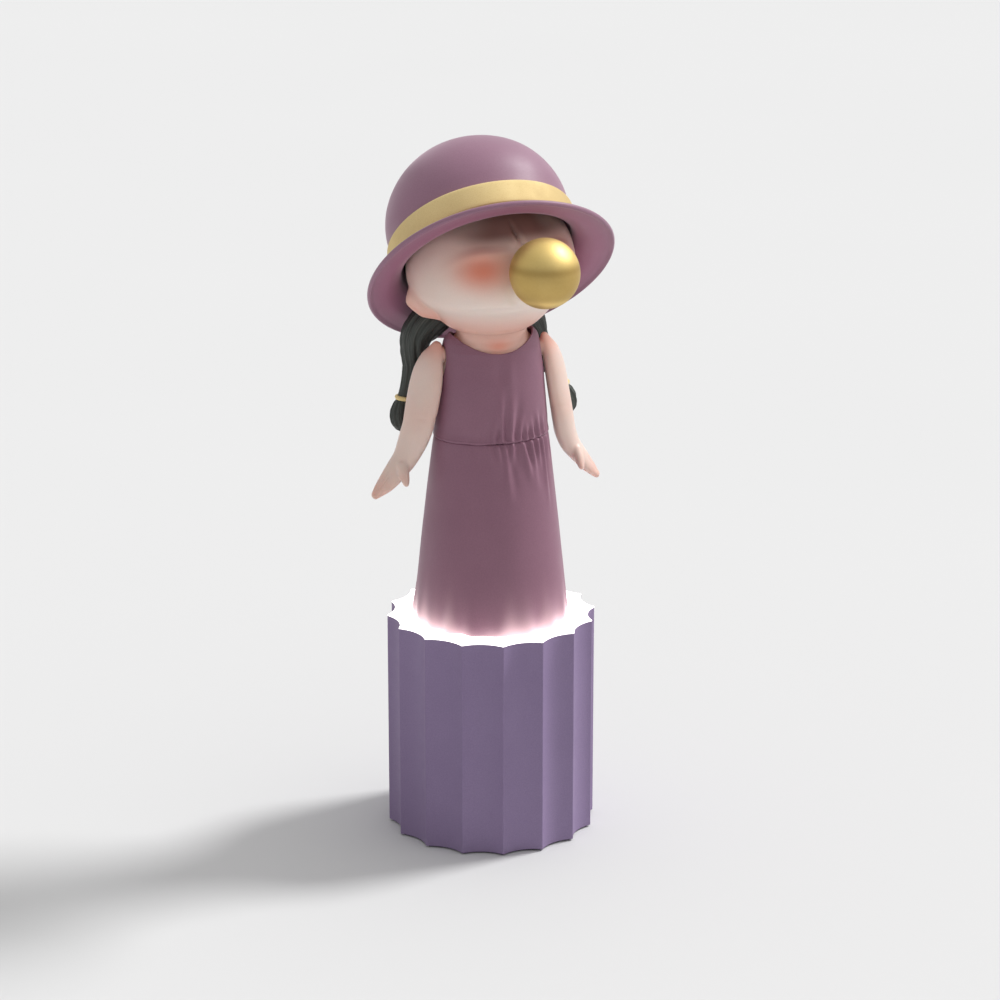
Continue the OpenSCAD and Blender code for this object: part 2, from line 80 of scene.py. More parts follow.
# ---- sizes of the figure ----------------------------------------------
HEAD_A, HEAD_B, CHEEK_Z, CHIN_H, BROW_H = 43.0, 37.5, 293.0, 33.5, 40.0
HEAD_LOW = NECK_Z + 0.015
SHELL_T = 2.5
CHIN_OUT, CHIN_FILLET = 1.4, 1.3
BLUSH_ANGLE, BLUSH_Z, BLUSH_WIDE, BLUSH_TALL = radians(34), 299.5, 14.0, 10.0
BROW_Z = 309.5
HAIR_T, HAIR_Y = 1.4, 16.0
NECK_BORE_R, NECK_BORE_DEEP = 6.06, 16
MOUTH = np.array([0, -33.5, 287.5])
TORSO_LOW = 213
CLOTH = 1.8
WAIST_A, WAIST_B, HEM_R = 29.0, 22.4, 39.2
HEM_FOLDS = 18
DRESS_TOP, SLOPE_Z = 261.3, 250
HAT_Z, HAT_TILT, HAT_ROLL = 291.2, 44.8, 5.5
CROWN_R, CROWN_H, CROWN_C = 46.0, 42.0, 26.8
BRIM_R, BRIM_ROOT, HAT_T = 62.8, 8.5, 2.4
BAND_LOW, BAND_TOP = 9.0, 21.3


# ---- mesh helpers -----------------------------------------------------
def new_object(name, points, faces):
    mesh = bpy.data.meshes.new(name)
    mesh.from_pydata([tuple(p) for p in np.asarray(points) * MM], [], faces)
    bm = bmesh.new()
    bm.from_mesh(mesh)
    bmesh.ops.recalc_face_normals(bm, faces=bm.faces)
    bm.to_mesh(mesh)
    bm.free()
    for polygon in mesh.polygons:
        polygon.use_smooth = True
    obj = bpy.data.objects.new(name, mesh)
    bpy.context.scene.collection.objects.link(obj)
    return obj


def loft_faces(sizes, closed):
    """Faces between rings. A ring of one point is a pole."""
    starts = np.concatenate([[0], np.cumsum(sizes)])
    pairs = [(k, k + 1) for k in range(len(sizes) - 1)]
    if closed:
        pairs.append((len(sizes) - 1, 0))
    n = max(sizes)
    faces = []
    for k, l in pairs:
        for i in range(n):
            j = (i + 1) % n
            a, b = starts[k] + i, starts[k] + j
            c, d = starts[l] + j, starts[l] + i
            if sizes[k] == 1:
                faces.append((starts[k], c, d))
            elif sizes[l] == 1:
                faces.append((a, b, starts[l]))
            else:
                faces.append((a, b, c, d))
    return [tuple(int(v) for v in f) for f in faces]


def loft(name, rings, closed=False):
    """Surface through rings of points; closed joins the last ring to the first."""
    rings = [np.atleast_2d(r) for r in rings]
    return new_object(name, np.concatenate(rings), loft_faces([len(r) for r in rings], closed))


def set_attribute(obj, name, values):
    """Gives each point a number, or three."""
    values = np.asarray(values, np.float32)
    kind, field = ("FLOAT", "value") if values.ndim == 1 else ("FLOAT_VECTOR", "vector")
    layer = obj.data.attributes.new(name, kind, "POINT")
    layer.data.foreach_set(field, values.ravel())


def points_of(obj):
    co = np.empty(len(obj.data.vertices) * 3, np.float32)
    obj.data.vertices.foreach_get("co", co)
    return co.reshape(-1, 3).astype(float) / MM


def move_points(obj, points):
    obj.data.vertices.foreach_set("co", (np.asarray(points) * MM).astype(np.float32).ravel())
    obj.data.update()


def normals_of(obj):
    normals = np.empty(len(obj.data.vertices) * 3, np.float32)
    obj.data.vertex_normals.foreach_get("vector", normals)
    return normals.reshape(-1, 3).astype(float)


def apply_modifiers(obj):
    """Bakes the object's modifiers into its mesh."""
    graph = bpy.context.evaluated_depsgraph_get()
    mesh = bpy.data.meshes.new_from_object(obj.evaluated_get(graph))
    obj.modifiers.clear()
    old = obj.data
    obj.data = mesh
    bpy.data.meshes.remove(old)
    for polygon in mesh.polygons:
        polygon.use_smooth = True


def wobble(points, size, seed=0):
    """Smooth noise from about -1 to 1, with features of that size."""
    shift = Vector((seed * 17.3, seed * 5.1, seed * 9.7))
    return np.array([noise.noise(Vector(p) / size + shift) for p in points])


def step(x, low, high):
    t = np.clip((np.asarray(x, float) - low) / (high - low), 0, 1)
    return t * t * (3 - 2 * t)


def bell(x, middle, width):
    return np.exp(-(((np.asarray(x, float) - middle) / width) ** 2))


def turn_z(points, angle):
    c, s = cos(angle), sin(angle)
    p = np.asarray(points, float)
    return np.stack([c * p[..., 0] - s * p[..., 1], s * p[..., 0] + c * p[..., 1], p[..., 2]], -1)


def unit(v):
    return v / np.linalg.norm(v)


def circle(count, start=0.0):
    """Evenly spaced angles round a circle."""
    return np.linspace(start, start + 2 * pi, count, endpoint=False)


def oval(a, b, z, angles):
    return np.stack([a * np.cos(angles), b * np.sin(angles), z + 0 * angles], -1)


def hoop(middle, a, b, across, up, angles):
    """Oval about a place, in the plane of two directions."""
    return middle + np.outer(a * np.cos(angles), across) + np.outer(b * np.sin(angles), up)


def smooth_path(points, count):
    """Catmull-Rom curve through rows of numbers, sampled evenly in its parameter."""
    p = np.asarray(points, float)
    p = np.concatenate([[2 * p[0] - p[1]], p, [2 * p[-1] - p[-2]]])
    out = []
    for u in np.linspace(0, len(p) - 3 - 1e-9, count):
        k = int(u)
        t = u - k
        a, b, c, d = p[k:k + 4]
        out.append(0.5 * (2 * b + (c - a) * t + (2 * a - 5 * b + 4 * c - d) * t ** 2
                          + (3 * b - 3 * c + d - a) * t ** 3))
    return np.array(out)


def finish_piece(obj, body, slot, *nodes, look=None):
    """Puts a piece on its body, with its slot's material unless another look is named."""
    obj.data.materials.clear()
    obj.data.materials.append(MATERIALS[look or slot])
    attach(obj, body)
    if nodes:
        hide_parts(*nodes)


# ---- materials --------------------------------------------------------
MATERIALS = {}


class Nodes:
    """Short calls for the nodes of a material or world."""

    def __init__(self, tree):
        self.tree = tree

    def node(self, kind, inputs=(), **settings):
        """Adds a node. Each of its inputs is a socket to link or a value to set."""
        made = self.tree.nodes.new(kind)
        for key, value in settings.items():
            setattr(made, key, value)
        for key, value in dict(inputs).items():
            self.feed(made.inputs[key], value)
        return made

    def feed(self, socket, value):
        if isinstance(value, bpy.types.NodeSocket):
            self.tree.links.new(value, socket)
        else:
            socket.default_value = (*value, 1.0) if socket.type == "RGBA" else value

    def remap(self, value, low, high, out_low, out_high, **settings):
        inputs = {"From Min": low, "From Max": high, "To Min": out_low, "To Max": out_high,
                  "Value": value}
        return self.node("ShaderNodeMapRange", inputs, **settings).outputs["Result"]


class Finish(Nodes):
    """A material with one Principled shader, kept in MATERIALS by its name."""

    def __init__(self, name, **inputs):
        self.material = MATERIALS[name] = bpy.data.materials.new(name)
        self.material.use_nodes = True
        super().__init__(self.material.node_tree)
        self.shader = self.tree.nodes["Principled BSDF"]
        for socket, value in inputs.items():
            self.feed(self.shader.inputs[socket.replace("_", " ")], value)
        self.place = self.node("ShaderNodeTexCoord").outputs["Object"]

    def stretched(self, scale, place=None):
        """Coordinates scaled by three factors."""
        inputs = {"Scale": scale, "Vector": place or self.place}
        return self.node("ShaderNodeMapping", inputs).outputs["Vector"]

    def noise(self, scale, detail, place=None):
        inputs = {"Scale": scale, "Detail": detail, "Vector": place or self.place}
        return self.node("ShaderNodeTexNoise", inputs).outputs["Fac"]

    def attribute(self, name, output="Fac"):
        return self.node("ShaderNodeAttribute", attribute_name=name).outputs[output]

    def vary(self, scale, detail, low, high):
        """Noise that runs between two values."""
        return self.remap(self.noise(scale, detail), 0.3, 0.7, low, high)

    def mix(self, factor, a, b, blend="MIX"):
        """Mixes two colours; a and b are sockets or linear RGB triples."""
        return self.node("ShaderNodeMix", {"Factor": factor, 6: a, 7: b},
                         data_type="RGBA", blend_type=blend).outputs[2]

    def colour(self, source):
        self.feed(self.shader.inputs["Base Color"], source)

    def rough(self, source):
        self.feed(self.shader.inputs["Roughness"], source)

    def bump(self, height, depth):
        """Adds a bump of that depth in millimetres."""
        inputs = {"Strength": 1.0, "Distance": depth * MM, "Height": height}
        before = self.shader.inputs["Normal"].links
        if before:
            inputs["Normal"] = before[0].from_socket
        made = self.node("ShaderNodeBump", inputs)
        self.feed(self.shader.inputs["Normal"], made.outputs["Normal"])


def srgb(r, g, b):
    """Linear colour of an 8-bit screen colour."""
    return tuple(((c / 255 + 0.055) / 1.055) ** 2.4 for c in (r, g, b))


DRESS_TONES = (srgb(142, 99, 118), srgb(134, 92, 111))


def mauve_vinyl(name, light, dark, sheen, glow=False):
    """Satin moulded vinyl; with glow, the lit plate's light on the hem is painted in as emission."""
    f = Finish(name, Sheen_Weight=sheen, Sheen_Roughness=0.4, Specular_IOR_Level=0.5,
               Sheen_Tint=(1.0, 0.85, 0.92))
    base = f.mix(f.vary(22, 3, 0, 1), dark, light)
    # painted shade: the hat brim's underside is darker and more saturated
    base = f.mix(f.attribute("painted_brim_shade"), base, srgb(152, 90, 118))
    f.colour(f.mix(1.0, base, f.vary(1900, 1, 0.94, 1.05), "MULTIPLY"))
    f.rough(f.vary(90, 3, 0.45, 0.55))
    if glow:
        # painted light: the lamp's glow on the hem
        f.feed(f.shader.inputs["Emission Color"], (1.0, 0.74, 0.72))
        f.feed(f.shader.inputs["Emission Strength"], f.attribute("glow"))
    f.bump(f.noise(1500, 2), 0.02)


def skin_vinyl():
    f = Finish("skin_vinyl", Subsurface_Weight=0.18, Subsurface_Scale=0.004,
               Subsurface_Radius=(1.0, 0.45, 0.3), Specular_IOR_Level=0.42)
    base = f.mix(f.vary(30, 3, 0, 1), srgb(225, 199, 187), srgb(232, 208, 197))
    # painted light: the lower front of the face is painted paler, as light on it
    base = f.mix(f.attribute("painted_face_light"), base, srgb(245, 231, 221))
    # blush, and painted shade under the chin, in the neck's hollow and on the shoulders
    base = f.mix(f.attribute("blush_and_shade"), base, srgb(228, 117, 82))
    # painted shade: the brim's shadow on the brow
    base = f.mix(f.attribute("shade"), base, srgb(112, 66, 58))
    f.colour(f.mix(1.0, base, f.vary(2300, 1, 0.975, 1.02), "MULTIPLY"))
    f.rough(f.vary(120, 3, 0.32, 0.42))
    f.bump(f.noise(1700, 2), 0.012)


def hair_vinyl():
    f = Finish("hair_vinyl", Specular_IOR_Level=0.45)
    strands = f.attribute("strand", "Vector")
    streak = f.noise(1.0, 4, f.stretched((9.0, 0.35, 1.0), strands))
    fine = f.noise(1.0, 3, f.stretched((34.0, 0.9, 1.0), strands))
    base = f.mix(f.remap(streak, 0.42, 0.68, 0, 1), srgb(48, 51, 48), srgb(74, 79, 74))
    f.colour(f.mix(f.remap(fine, 0.55, 0.75, 0, 0.8), base, srgb(104, 107, 100)))
    f.rough(f.remap(streak, 0.3, 0.7, 0.42, 0.6))
    f.bump(fine, 0.12)
    f.bump(streak, 0.2)


def gold_paint(name, light, dark, metallic, rough_low, rough_high, brushed=None):
    f = Finish(name, Metallic=metallic)
    patches = f.noise(45, 4)
    base = f.mix(f.remap(patches, 0.3, 0.7, 0, 1), dark, light)
    base = f.mix(f.remap(f.noise(2600, 1), 0.45, 0.75, 0, 0.25), base, srgb(204, 170, 104))
    # painted shade and painted reflections from the shade attribute: the band's ends, the bubble's belt and lower
    # half
    f.colour(f.mix(f.attribute("shade"), base, srgb(134, 94, 28)))
    grain = f.noise(900, 3, f.stretched(brushed) if brushed else None)
    f.rough(f.vary(160, 3, rough_low, rough_high))
    f.bump(grain, 0.018)


def lavender_paint():
    f = Finish("lavender_paint", Specular_IOR_Level=0.4)
    base = f.mix(f.vary(14, 3, 0, 1), srgb(136, 117, 152), srgb(143, 124, 159))
    f.colour(f.mix(1.0, base, f.vary(1900, 1, 0.94, 1.05), "MULTIPLY"))
    f.rough(f.vary(200, 3, 0.5, 0.62))
    f.bump(f.noise(1500, 3), 0.025)


def opal_lit():
    f = Finish("opal_lit", Roughness=0.4, Emission_Strength=2.0)
    spots = f.noise(35, 2)
    f.colour(f.mix(spots, (0.93, 0.92, 0.9), (0.98, 0.97, 0.96)))
    glow = f.mix(f.remap(spots, 0.3, 0.7, 0, 1), (1.0, 0.93, 0.92), (1.0, 0.96, 0.95))
    f.feed(f.shader.inputs["Emission Color"], glow)
    f.bump(f.noise(900, 2), 0.01)


def moulded(name, light, dark, low, high, grain=1400, depth=0.02, **constants):
    """Moulded plastic, rubber or lacquer with a fine grain."""
    f = Finish(name, **constants)
    f.colour(f.mix(f.vary(60, 4, 0, 1), dark, light))
    f.rough(f.vary(260, 3, low, high))
    f.bump(f.noise(grain, 3), depth)


def metal(name, light, dark, low, high, along=(1.0, 1.0, 12.0)):
    """Bare metal with machining marks."""
    f = Finish(name, Metallic=1.0)
    marks = f.noise(420, 4, f.stretched(along))
    f.colour(f.mix(f.remap(marks, 0.3, 0.7, 0, 1), dark, light))
    f.rough(f.remap(marks, 0.3, 0.7, low, high))
    f.bump(marks, 0.01)


# One material for each slot. dress_vinyl, skirt_vinyl and bubble_gold are looks of single pieces.
mauve_vinyl("mauve_vinyl", srgb(153, 112, 133), srgb(146, 105, 126), 0.35)
mauve_vinyl("dress_vinyl", *DRESS_TONES, 0.15)
mauve_vinyl("skirt_vinyl", *DRESS_TONES, 0.1, glow=True)
skin_vinyl()
hair_vinyl()
gold_paint("gold_paint", srgb(244, 223, 168), srgb(238, 216, 158), 0.4, 0.76, 0.86)
gold_paint("bubble_gold", srgb(236, 209, 138), srgb(230, 201, 126), 0.85, 0.48, 0.56,
           (1.0, 1.0, 0.2))
lavender_paint()
opal_lit()
moulded("white_plastic", (0.84, 0.84, 0.81), (0.78, 0.78, 0.75), 0.4, 0.55)
metal("steel", (0.66, 0.67, 0.69), (0.5, 0.51, 0.53), 0.25, 0.4)
metal("brass_insert", (0.78, 0.6, 0.3), (0.62, 0.46, 0.21), 0.25, 0.4)
moulded("led_yellow", (0.95, 0.84, 0.42), (0.9, 0.76, 0.33), 0.2, 0.3,
        Emission_Color=(1.0, 0.9, 0.7), Emission_Strength=1.5)
moulded("black_plastic", (0.035, 0.035, 0.04), (0.022, 0.022, 0.026), 0.45, 0.6, 1100, 0.05)
moulded("pad_rubber", (0.03, 0.03, 0.032), (0.018, 0.018, 0.02), 0.75, 0.9, 700, 0.12)
moulded("cell_wrap", (0.2, 0.3, 0.25), (0.15, 0.24, 0.2), 0.25, 0.35, 900, 0.01)
moulded("board_green", (0.03, 0.18, 0.08), (0.02, 0.12, 0.05), 0.3, 0.4)
moulded("wire_red_pvc", (0.5, 0.03, 0.025), (0.4, 0.02, 0.02), 0.35, 0.45)
moulded("wire_black_pvc", (0.03, 0.03, 0.03), (0.02, 0.02, 0.02), 0.35, 0.45)

SLOT_OF = {part["node"]: part["material_slot"] for part in frame["record"]["subparts"]}
for node_name, cad_node in frame["nodes"].items():
    cad_node.data.materials.clear()
    cad_node.data.materials.append(MATERIALS[SLOT_OF[node_name]])
    cad_node.data.set_sharp_from_angle(angle=radians(28))


# ---- outlines shared by the pieces ------------------------------------
def chin_fillet(side):
    """Reach of the fillet between chin and chest, at an angle from the head's front."""
    return CHIN_FILLET * (0.5 + 0.5 * np.cos(side)) ** 3


def egg_start(z, grow=0.0):
    """Angle below the cheeks at which the head's outline reaches a height."""
    return -asin((CHEEK_Z - z) / (CHIN_H + grow))


def bodice_a(z):
    return np.interp(z, [208, 214, 226, 238, 246, 250, 253, 256, 258, 260, DRESS_TOP],
                     [WAIST_A, 28.8, 27.9, 26.9, 25.8, 25.2, 24.8, 24.3, 23.6, 21.8, 17.5])


def bodice_b(z):
    return np.interp(z, [208, 226, 238, 246, 252, 256, 259, DRESS_TOP],
                     [WAIST_B, 21.2, 19.6, 18.2, 16.8, 14.6, 11.8, 6.5])


def skirt_size(z):
    """Half width and half depth of the skirt at height z."""
    f = (WAIST_Z - z) / (WAIST_Z - PLATE_Z)
    return WAIST_A + (HEM_R - WAIST_A) * f ** 0.92, WAIST_B + (HEM_R - WAIST_B) * f ** 0.8


# ---- head -------------------------------------------------------------
def face_relief(side, z, radius):
    """How far the face stands out at an angle from the front and a height."""
    def spot(angle, height, wide, tall):
        return bell(radius * (side - radians(angle)), 0, wide) * bell(z, height, tall)

    relief = np.zeros_like(side)
    for s in (-1, 1):
        # eye hollow with a firm lower edge that droops outwards
        across = s * radius * side
        edge = 309.6 - 0.011 * np.maximum(across - 18, 0) ** 2
        hollow = bell(across, 20, 15)
        relief -= 3.4 * hollow * bell(z, 319, 10) * step(z - edge, -2.2, 2.0)
        relief += 1.1 * hollow * bell(z - edge, -2.6, 2.2)
        # full cheek
        relief += 1.2 * spot(40 * s, 296, 13, 9)
        # corner of the mouth's ledge
        relief += 0.55 * spot(42 * s, 281.5, 4.5, 3)
    # crease between the brows, and the bridge beside it
    slant = radius * (side - radians(-3.5)) - 0.25 * (315 - z)
    relief -= 2.0 * bell(slant, 0, 1.0) * bell(z, 315.5, 5)
    relief += 1.2 * bell(slant, 2.6, 1.8) * bell(z, 313.5, 5)
    relief += 1.2 * bell(slant, -3.0, 2.4) * bell(z, 311, 2.6)
    # tip of a button nose
    relief += 1.3 * spot(0, 303, 3.2, 3.0)
    # pursed lips round the bubble's neck, and the soft ledge from cheek to cheek under them
    ring = np.hypot(radius * side, z - MOUTH[2] - 1)
    relief += 1.7 * bell(ring, 3.2, 1.7) - 0.6 * bell(ring, 7.5, 2.6)
    ends = 1 - step(np.abs(radius * side), 22, 33)
    relief += 1.3 * ends * step(z, 278.5, 282) * (1 - step(z, 283, 297))
    # the jaw draws in under the ledge
    relief -= 1.9 * bell(z, 272, 5.5)
    return relief


EAR_ANGLE, EAR_Z = radians(97), 276.5


def ear_relief(side, z, radius):
    """Soft button ear with a rolled rim and a hollow, leaning back at its top."""
    relief = np.zeros_like(side)
    for s in (-1, 1):
        across = s * radius * side - radius * EAR_ANGLE - 0.15 * (z - EAR_Z)
        up = z - EAR_Z
        reach = np.sqrt((across / 6.2) ** 2 + (up / 9.0) ** 2)
        relief += 5.4 * (1 - step(reach, 0.3, 1.15))
        hollow = np.sqrt(((across + 2.2) / 2.4) ** 2 + ((up - 1.0) / 4.6) ** 2)
        relief -= 1.9 * (1 - step(hollow, 0.2, 1.2))
    return relief


def head_ring(t, angles, grow=0.0):
    tall = (CHIN_H if t < 0 else BROW_H) + grow
    return np.stack([(HEAD_A + grow) * cos(t) * np.sin(angles),
                     -(HEAD_B + grow) * cos(t) * np.cos(angles),
                     CHEEK_Z + tall * sin(t) + 0 * angles], -1)


def head():
    angles = circle(240, -pi)
    base = np.array([head_ring(t, angles)
                     for t in np.linspace(pi / 2, egg_start(HEAD_LOW), 140)[1:]])
    side = np.broadcast_to(np.arctan2(base[..., 0], -base[..., 1]), base.shape[:2])
    radius = np.hypot(base[..., 0], base[..., 1])
    z = base[..., 2]
    relief = face_relief(side, z, radius) + ear_relief(side, z, radius) * step(z, 263, 268)
    relief += 0.12 * wobble(base.reshape(-1, 3), 14).reshape(relief.shape)
    outward = base - [0, 0, CHEEK_Z]
    outward[..., :2] /= [HEAD_A ** 2, HEAD_B ** 2]
    outward[..., 2] /= np.where(z < CHEEK_Z, CHIN_H, BROW_H) ** 2
    outward /= np.linalg.norm(outward, axis=-1, keepdims=True)
    # near the floor the surface moves level, so that its edge stays at the joint
    outward[..., 2] *= step(z, HEAD_LOW, 268)
    shaped = base + outward * relief[..., None]
    # a fillet turns the chin down to the chest
    flare = CHIN_OUT * (1 - step(z, HEAD_LOW, 267))
    flare += chin_fillet(side) * np.exp(-(z - HEAD_LOW) / 0.6)
    shaped[..., :2] *= (1 + flare / np.maximum(radius, 10))[..., None]

    bore = np.stack([NECK_BORE_R * np.sin(angles), -NECK_BORE_R * np.cos(angles),
                     np.full_like(angles, HEAD_LOW)], -1)
    lip = shaped[-1] * [0.97, 0.97, 1.0]
    deep = SHELL_T + 2.5
    inside = [head_ring(t, angles, -deep)
              for t in np.linspace(egg_start(HEAD_LOW + SHELL_T, -deep), pi / 2, 40)[:-1]]
    rings = [[0, 0, CHEEK_Z + BROW_H]] + list(shaped) + [lip, bore, bore + [0, 0, SHELL_T]]
    rings += inside + [[0, 0, CHEEK_Z + BROW_H - deep]]
    rings = [turn_z(np.atleast_2d(r), HEAD_TURN) for r in rings]
    obj = loft("head", rings)

    blush_and_shade = np.zeros_like(z)
    shade = np.zeros_like(z)
    for s in (-1, 1):
        reach = np.hypot(radius * (side - s * BLUSH_ANGLE) / BLUSH_WIDE,
                         (z - BLUSH_Z) / BLUSH_TALL)
        blush_and_shade += 0.82 * np.exp(-reach ** 2)
        ear = np.hypot((s * radius * side - radius * EAR_ANGLE) / 8, (z - EAR_Z + 2) / 11)
        blush_and_shade += 0.42 * np.exp(-ear ** 2)
    # painted shade: pinker under the chin, where its shadow and the chest's bounce fall
    blush_and_shade += 0.34 * (1 - step(z, 263, 277))
    # painted shade: a dark band across the brow where the brim's shadow falls, less on the bridge of the nose
    front = 1 - step(np.abs(side), radians(22), radians(70))
    shade += (0.25 + 0.6 * front) * step(z, BROW_Z, BROW_Z + 7.5)
    shade -= 0.25 * bell(radius * side, -2, 3) * bell(z, 312, 4)
    # painted light: paler lower front of the face
    painted_face_light = 0.85 * bell(z, 283, 15) * (1 - step(np.abs(side), radians(35), radians(85)))
    for name, values in (("blush_and_shade", blush_and_shade), ("shade", shade), ("painted_face_light", painted_face_light)):
        full = np.zeros(len(obj.data.vertices))
        full[1:1 + values.size] = np.clip(values, 0, 1).ravel()
        set_attribute(obj, name, full)
    obj.data.set_sharp_from_angle(angle=radians(60))
    finish_piece(obj, "head", "skin_vinyl", "head_shell")


# ---- hair -------------------------------------------------------------
def hair_cap():
    """Back hair in a fan of strands from the nape's two roots, thin at its front edges."""
    start = asin(HAIR_Y / (HEAD_B + HAIR_T))
    columns = np.linspace(start, pi - start, 150)
    ts = np.linspace(egg_start(HEAD_LOW, 0), radians(62), 70)
    z = CHEEK_Z + np.where(ts < 0, CHIN_H, BROW_H) * np.sin(ts)
    loops, strands = [], []
    for column in columns:
        edge = step(column, start, start + 0.15) * (1 - step(column, pi - start - 0.15,
                                                             pi - start))
        root = start + 0.05 if column < pi / 2 else pi - start - 0.05
        fan = np.arctan2(HEAD_A * (column - root), z - HEAD_LOW + 6)
        groove = np.sin(34 * fan + 1.5 * np.sin(5 * fan)) * 0.25 + 0.14 * np.sin(81 * fan + 1)
        depth = 0.3 + edge * (HAIR_T - 0.5 + groove * 0.8)
        depth = depth * (1 - 0.7 * step(ts, radians(52), radians(62)))
        outer = np.stack([(HEAD_A * np.cos(ts) + depth) * cos(column),
                          (HEAD_B * np.cos(ts) + depth) * sin(column), z], -1)
        inner = np.stack([(HEAD_A * np.cos(ts) + 0.02) * cos(column),
                          (HEAD_B * np.cos(ts) + 0.02) * sin(column), z], -1)[::-1]
        loops.append(turn_z(np.concatenate([outer, inner]), HEAD_TURN))
        strands.append(np.stack([np.concatenate([fan, fan[::-1]]) * 2,
                                 np.concatenate([z, z[::-1]]) / 8, np.zeros(2 * len(z))], -1))
    obj = loft("hair_cap", [loops[0].mean(0)] + loops + [loops[-1].mean(0)])
    ends = [strands[0].mean(0)[None], strands[-1].mean(0)[None]]
    set_attribute(obj, "strand", np.concatenate([ends[0]] + strands + [ends[1]]))
    finish_piece(obj, "head", "hair_vinyl", "hair_cap")


# Path of each tail, for its side: place and radius from the nape to the tip, least at the tie.
# The head's turn has carried the right tail forward and the left one back.
TAILS = {
    -1: [[-12, 9, 268, 4.5], [-20, 11.5, 267.5, 7], [-27.5, 13.8, 263.5, 8.4],
         [-33.2, 15.8, 256.5, 7.8], [-34.3, 17.9, 248, 6.6], [-34.2, 19.4, 240, 5.5],
         [-36, 21, 230.5, 4.4], [-38.4, 22, 223.2, 3.4], [-38.9, 22.2, 219.6, 4.6],
         [-39.8, 22.5, 214.4, 5.7], [-40.1, 22.5, 209.6, 5.0], [-40.2, 22.5, 206.2, 2.8]],
    1: [[8, 13, 268, 4.5], [16, 17, 267.5, 7], [22.5, 21, 263.5, 8.4], [28.2, 23.6, 256, 7.6],
        [31.2, 24.4, 248, 6.5], [34.8, 24.2, 240, 5.5], [40.5, 23.4, 230.5, 4.4],
        [44.3, 23, 223.2, 3.4], [45.2, 23, 219.6, 4.7], [46.7, 23, 214.4, 5.9],
        [47, 23, 209.6, 5.1], [47.1, 23, 206.2, 2.8]]}


def ponytail(side):
    """Tail that leaves the nape, narrows at its tie and ends in a bulb, with combed grooves."""
    path = smooth_path(TAILS[side], 120)
    around = circle(72)
    rings, strands = [], []
    for k, (x, y, z, r) in enumerate(path):
        ahead = path[min(k + 1, len(path) - 1)] - path[max(k - 1, 0)]
        heading = unit(ahead[:3])
        across = unit(np.cross([0, 1, 0], heading))
        out = np.cross(heading, across)
        along = k / len(path)
        phase = around + 1.6 * along
        groove = 0.055 * np.sin(9 * phase) + 0.035 * np.sin(17 * phase + 3 * along)
        groove += 0.02 * np.sin(29 * phase + 5)
        size = r * (1 + groove * step(r, 3.0, 5.0))
        rings.append(hoop([x, y, z], size, size, across, out, around))
        strands.append(np.stack([phase * 1.6, np.full_like(around, z / 8),
                                 np.sin(around)], -1))
    tips = [path[0][:3] - 2.5 * (path[1] - path[0])[:3], path[-1][:3] - [0, 0, 1.6]]
    rings = [tips[0]] + rings + [tips[1]]
    name = "ponytail_left" if side > 0 else "ponytail_right"
    obj = loft(name, rings)
    strands = np.concatenate([strands[0][:1]] + strands + [strands[-1][:1]])
    strands[:, 0] += 3.7 * side
    set_attribute(obj, "strand", strands)
    finish_piece(obj, "head", "hair_vinyl", name)


def tail_tie(side):
    """Gold tie of three close turns."""
    name = "tail_tie_left" if side > 0 else "tail_tie_right"
    low, high = corners(name)
    middle = (low + high) / 2
    around = circle(64)
    tilt = Matrix.Rotation(radians(side * -8), 3, "Y")
    rings = []
    for t in circle(48):
        turns = 0.13 * abs(sin(3 * t / 2 + pi / 4)) if cos(t) > 0 else 0
        r = 3.85 + (0.85 + turns) * cos(t) + 0.05 * np.sin(7 * around + 2)
        h = 1.1 * sin(t) + 0.12 * np.sin(2 * around + side)
        ring = oval(r, r, h, around)
        rings.append(ring @ np.array(tilt).T + middle)
    obj = loft(name, rings, closed=True)
    finish_piece(obj, "head", "gold_paint", name)


# ---- hat --------------------------------------------------------------
HAT_FRAME = (Matrix.Rotation(HEAD_TURN, 4, "Z") @ Matrix.Translation((0, 0, HAT_Z))
             @ Matrix.Rotation(radians(-HAT_TILT), 4, "X")
             @ Matrix.Rotation(radians(HAT_ROLL), 4, "Y"))


def in_hat_frame(points):
    m = np.array(HAT_FRAME)
    return np.asarray(points) @ m[:3, :3].T + m[:3, 3]


def hat_outline():
    """Radius and height from the crown's top, round the brim's rolled lip, to the crown inside.

    The second result is where the line turns to the brim's underside.
    """
    dome = np.linspace(pi / 2, 0, 46)[1:]
    flare = np.linspace(0, 1, 30)[1:]
    edge_r = BRIM_R - 1.3
    line = [(CROWN_R * cos(t), CROWN_C + CROWN_H * sin(t)) for t in dome]
    line += [(CROWN_R, h) for h in np.linspace(CROWN_C, BRIM_ROOT, 8)[1:]]
    line += [(CROWN_R + (edge_r - CROWN_R) * (1 - cos(pi / 2 * f)),
              BRIM_ROOT * (1 - sin(pi / 2 * f)) + 0.35 * exp(-((f - 1) / 0.12) ** 2))
             for f in flare]
    under = len(line) + 8
    line += [(edge_r + 1.3 * cos(t), -1.05 + 1.4 * sin(t))
             for t in np.linspace(pi / 2, -pi / 2, 14)[1:]]
    inner_r = CROWN_R - HAT_T
    line += [(inner_r + (edge_r - inner_r) * (1 - cos(pi / 2 * f)),
              BRIM_ROOT - (BRIM_ROOT + HAT_T) * sin(pi / 2 * f)
              + 0.9 * step(1 - f, 0.0, 0.05) * step(f, 0.6, 0.86)) for f in flare[::-1][1:]]
    line += [(inner_r, h) for h in np.linspace(BRIM_ROOT, CROWN_C, 8)]
    line += [(inner_r * cos(t), CROWN_C + (CROWN_H - HAT_T) * sin(t))
             for t in dome[::-1][1:]]
    return line, under


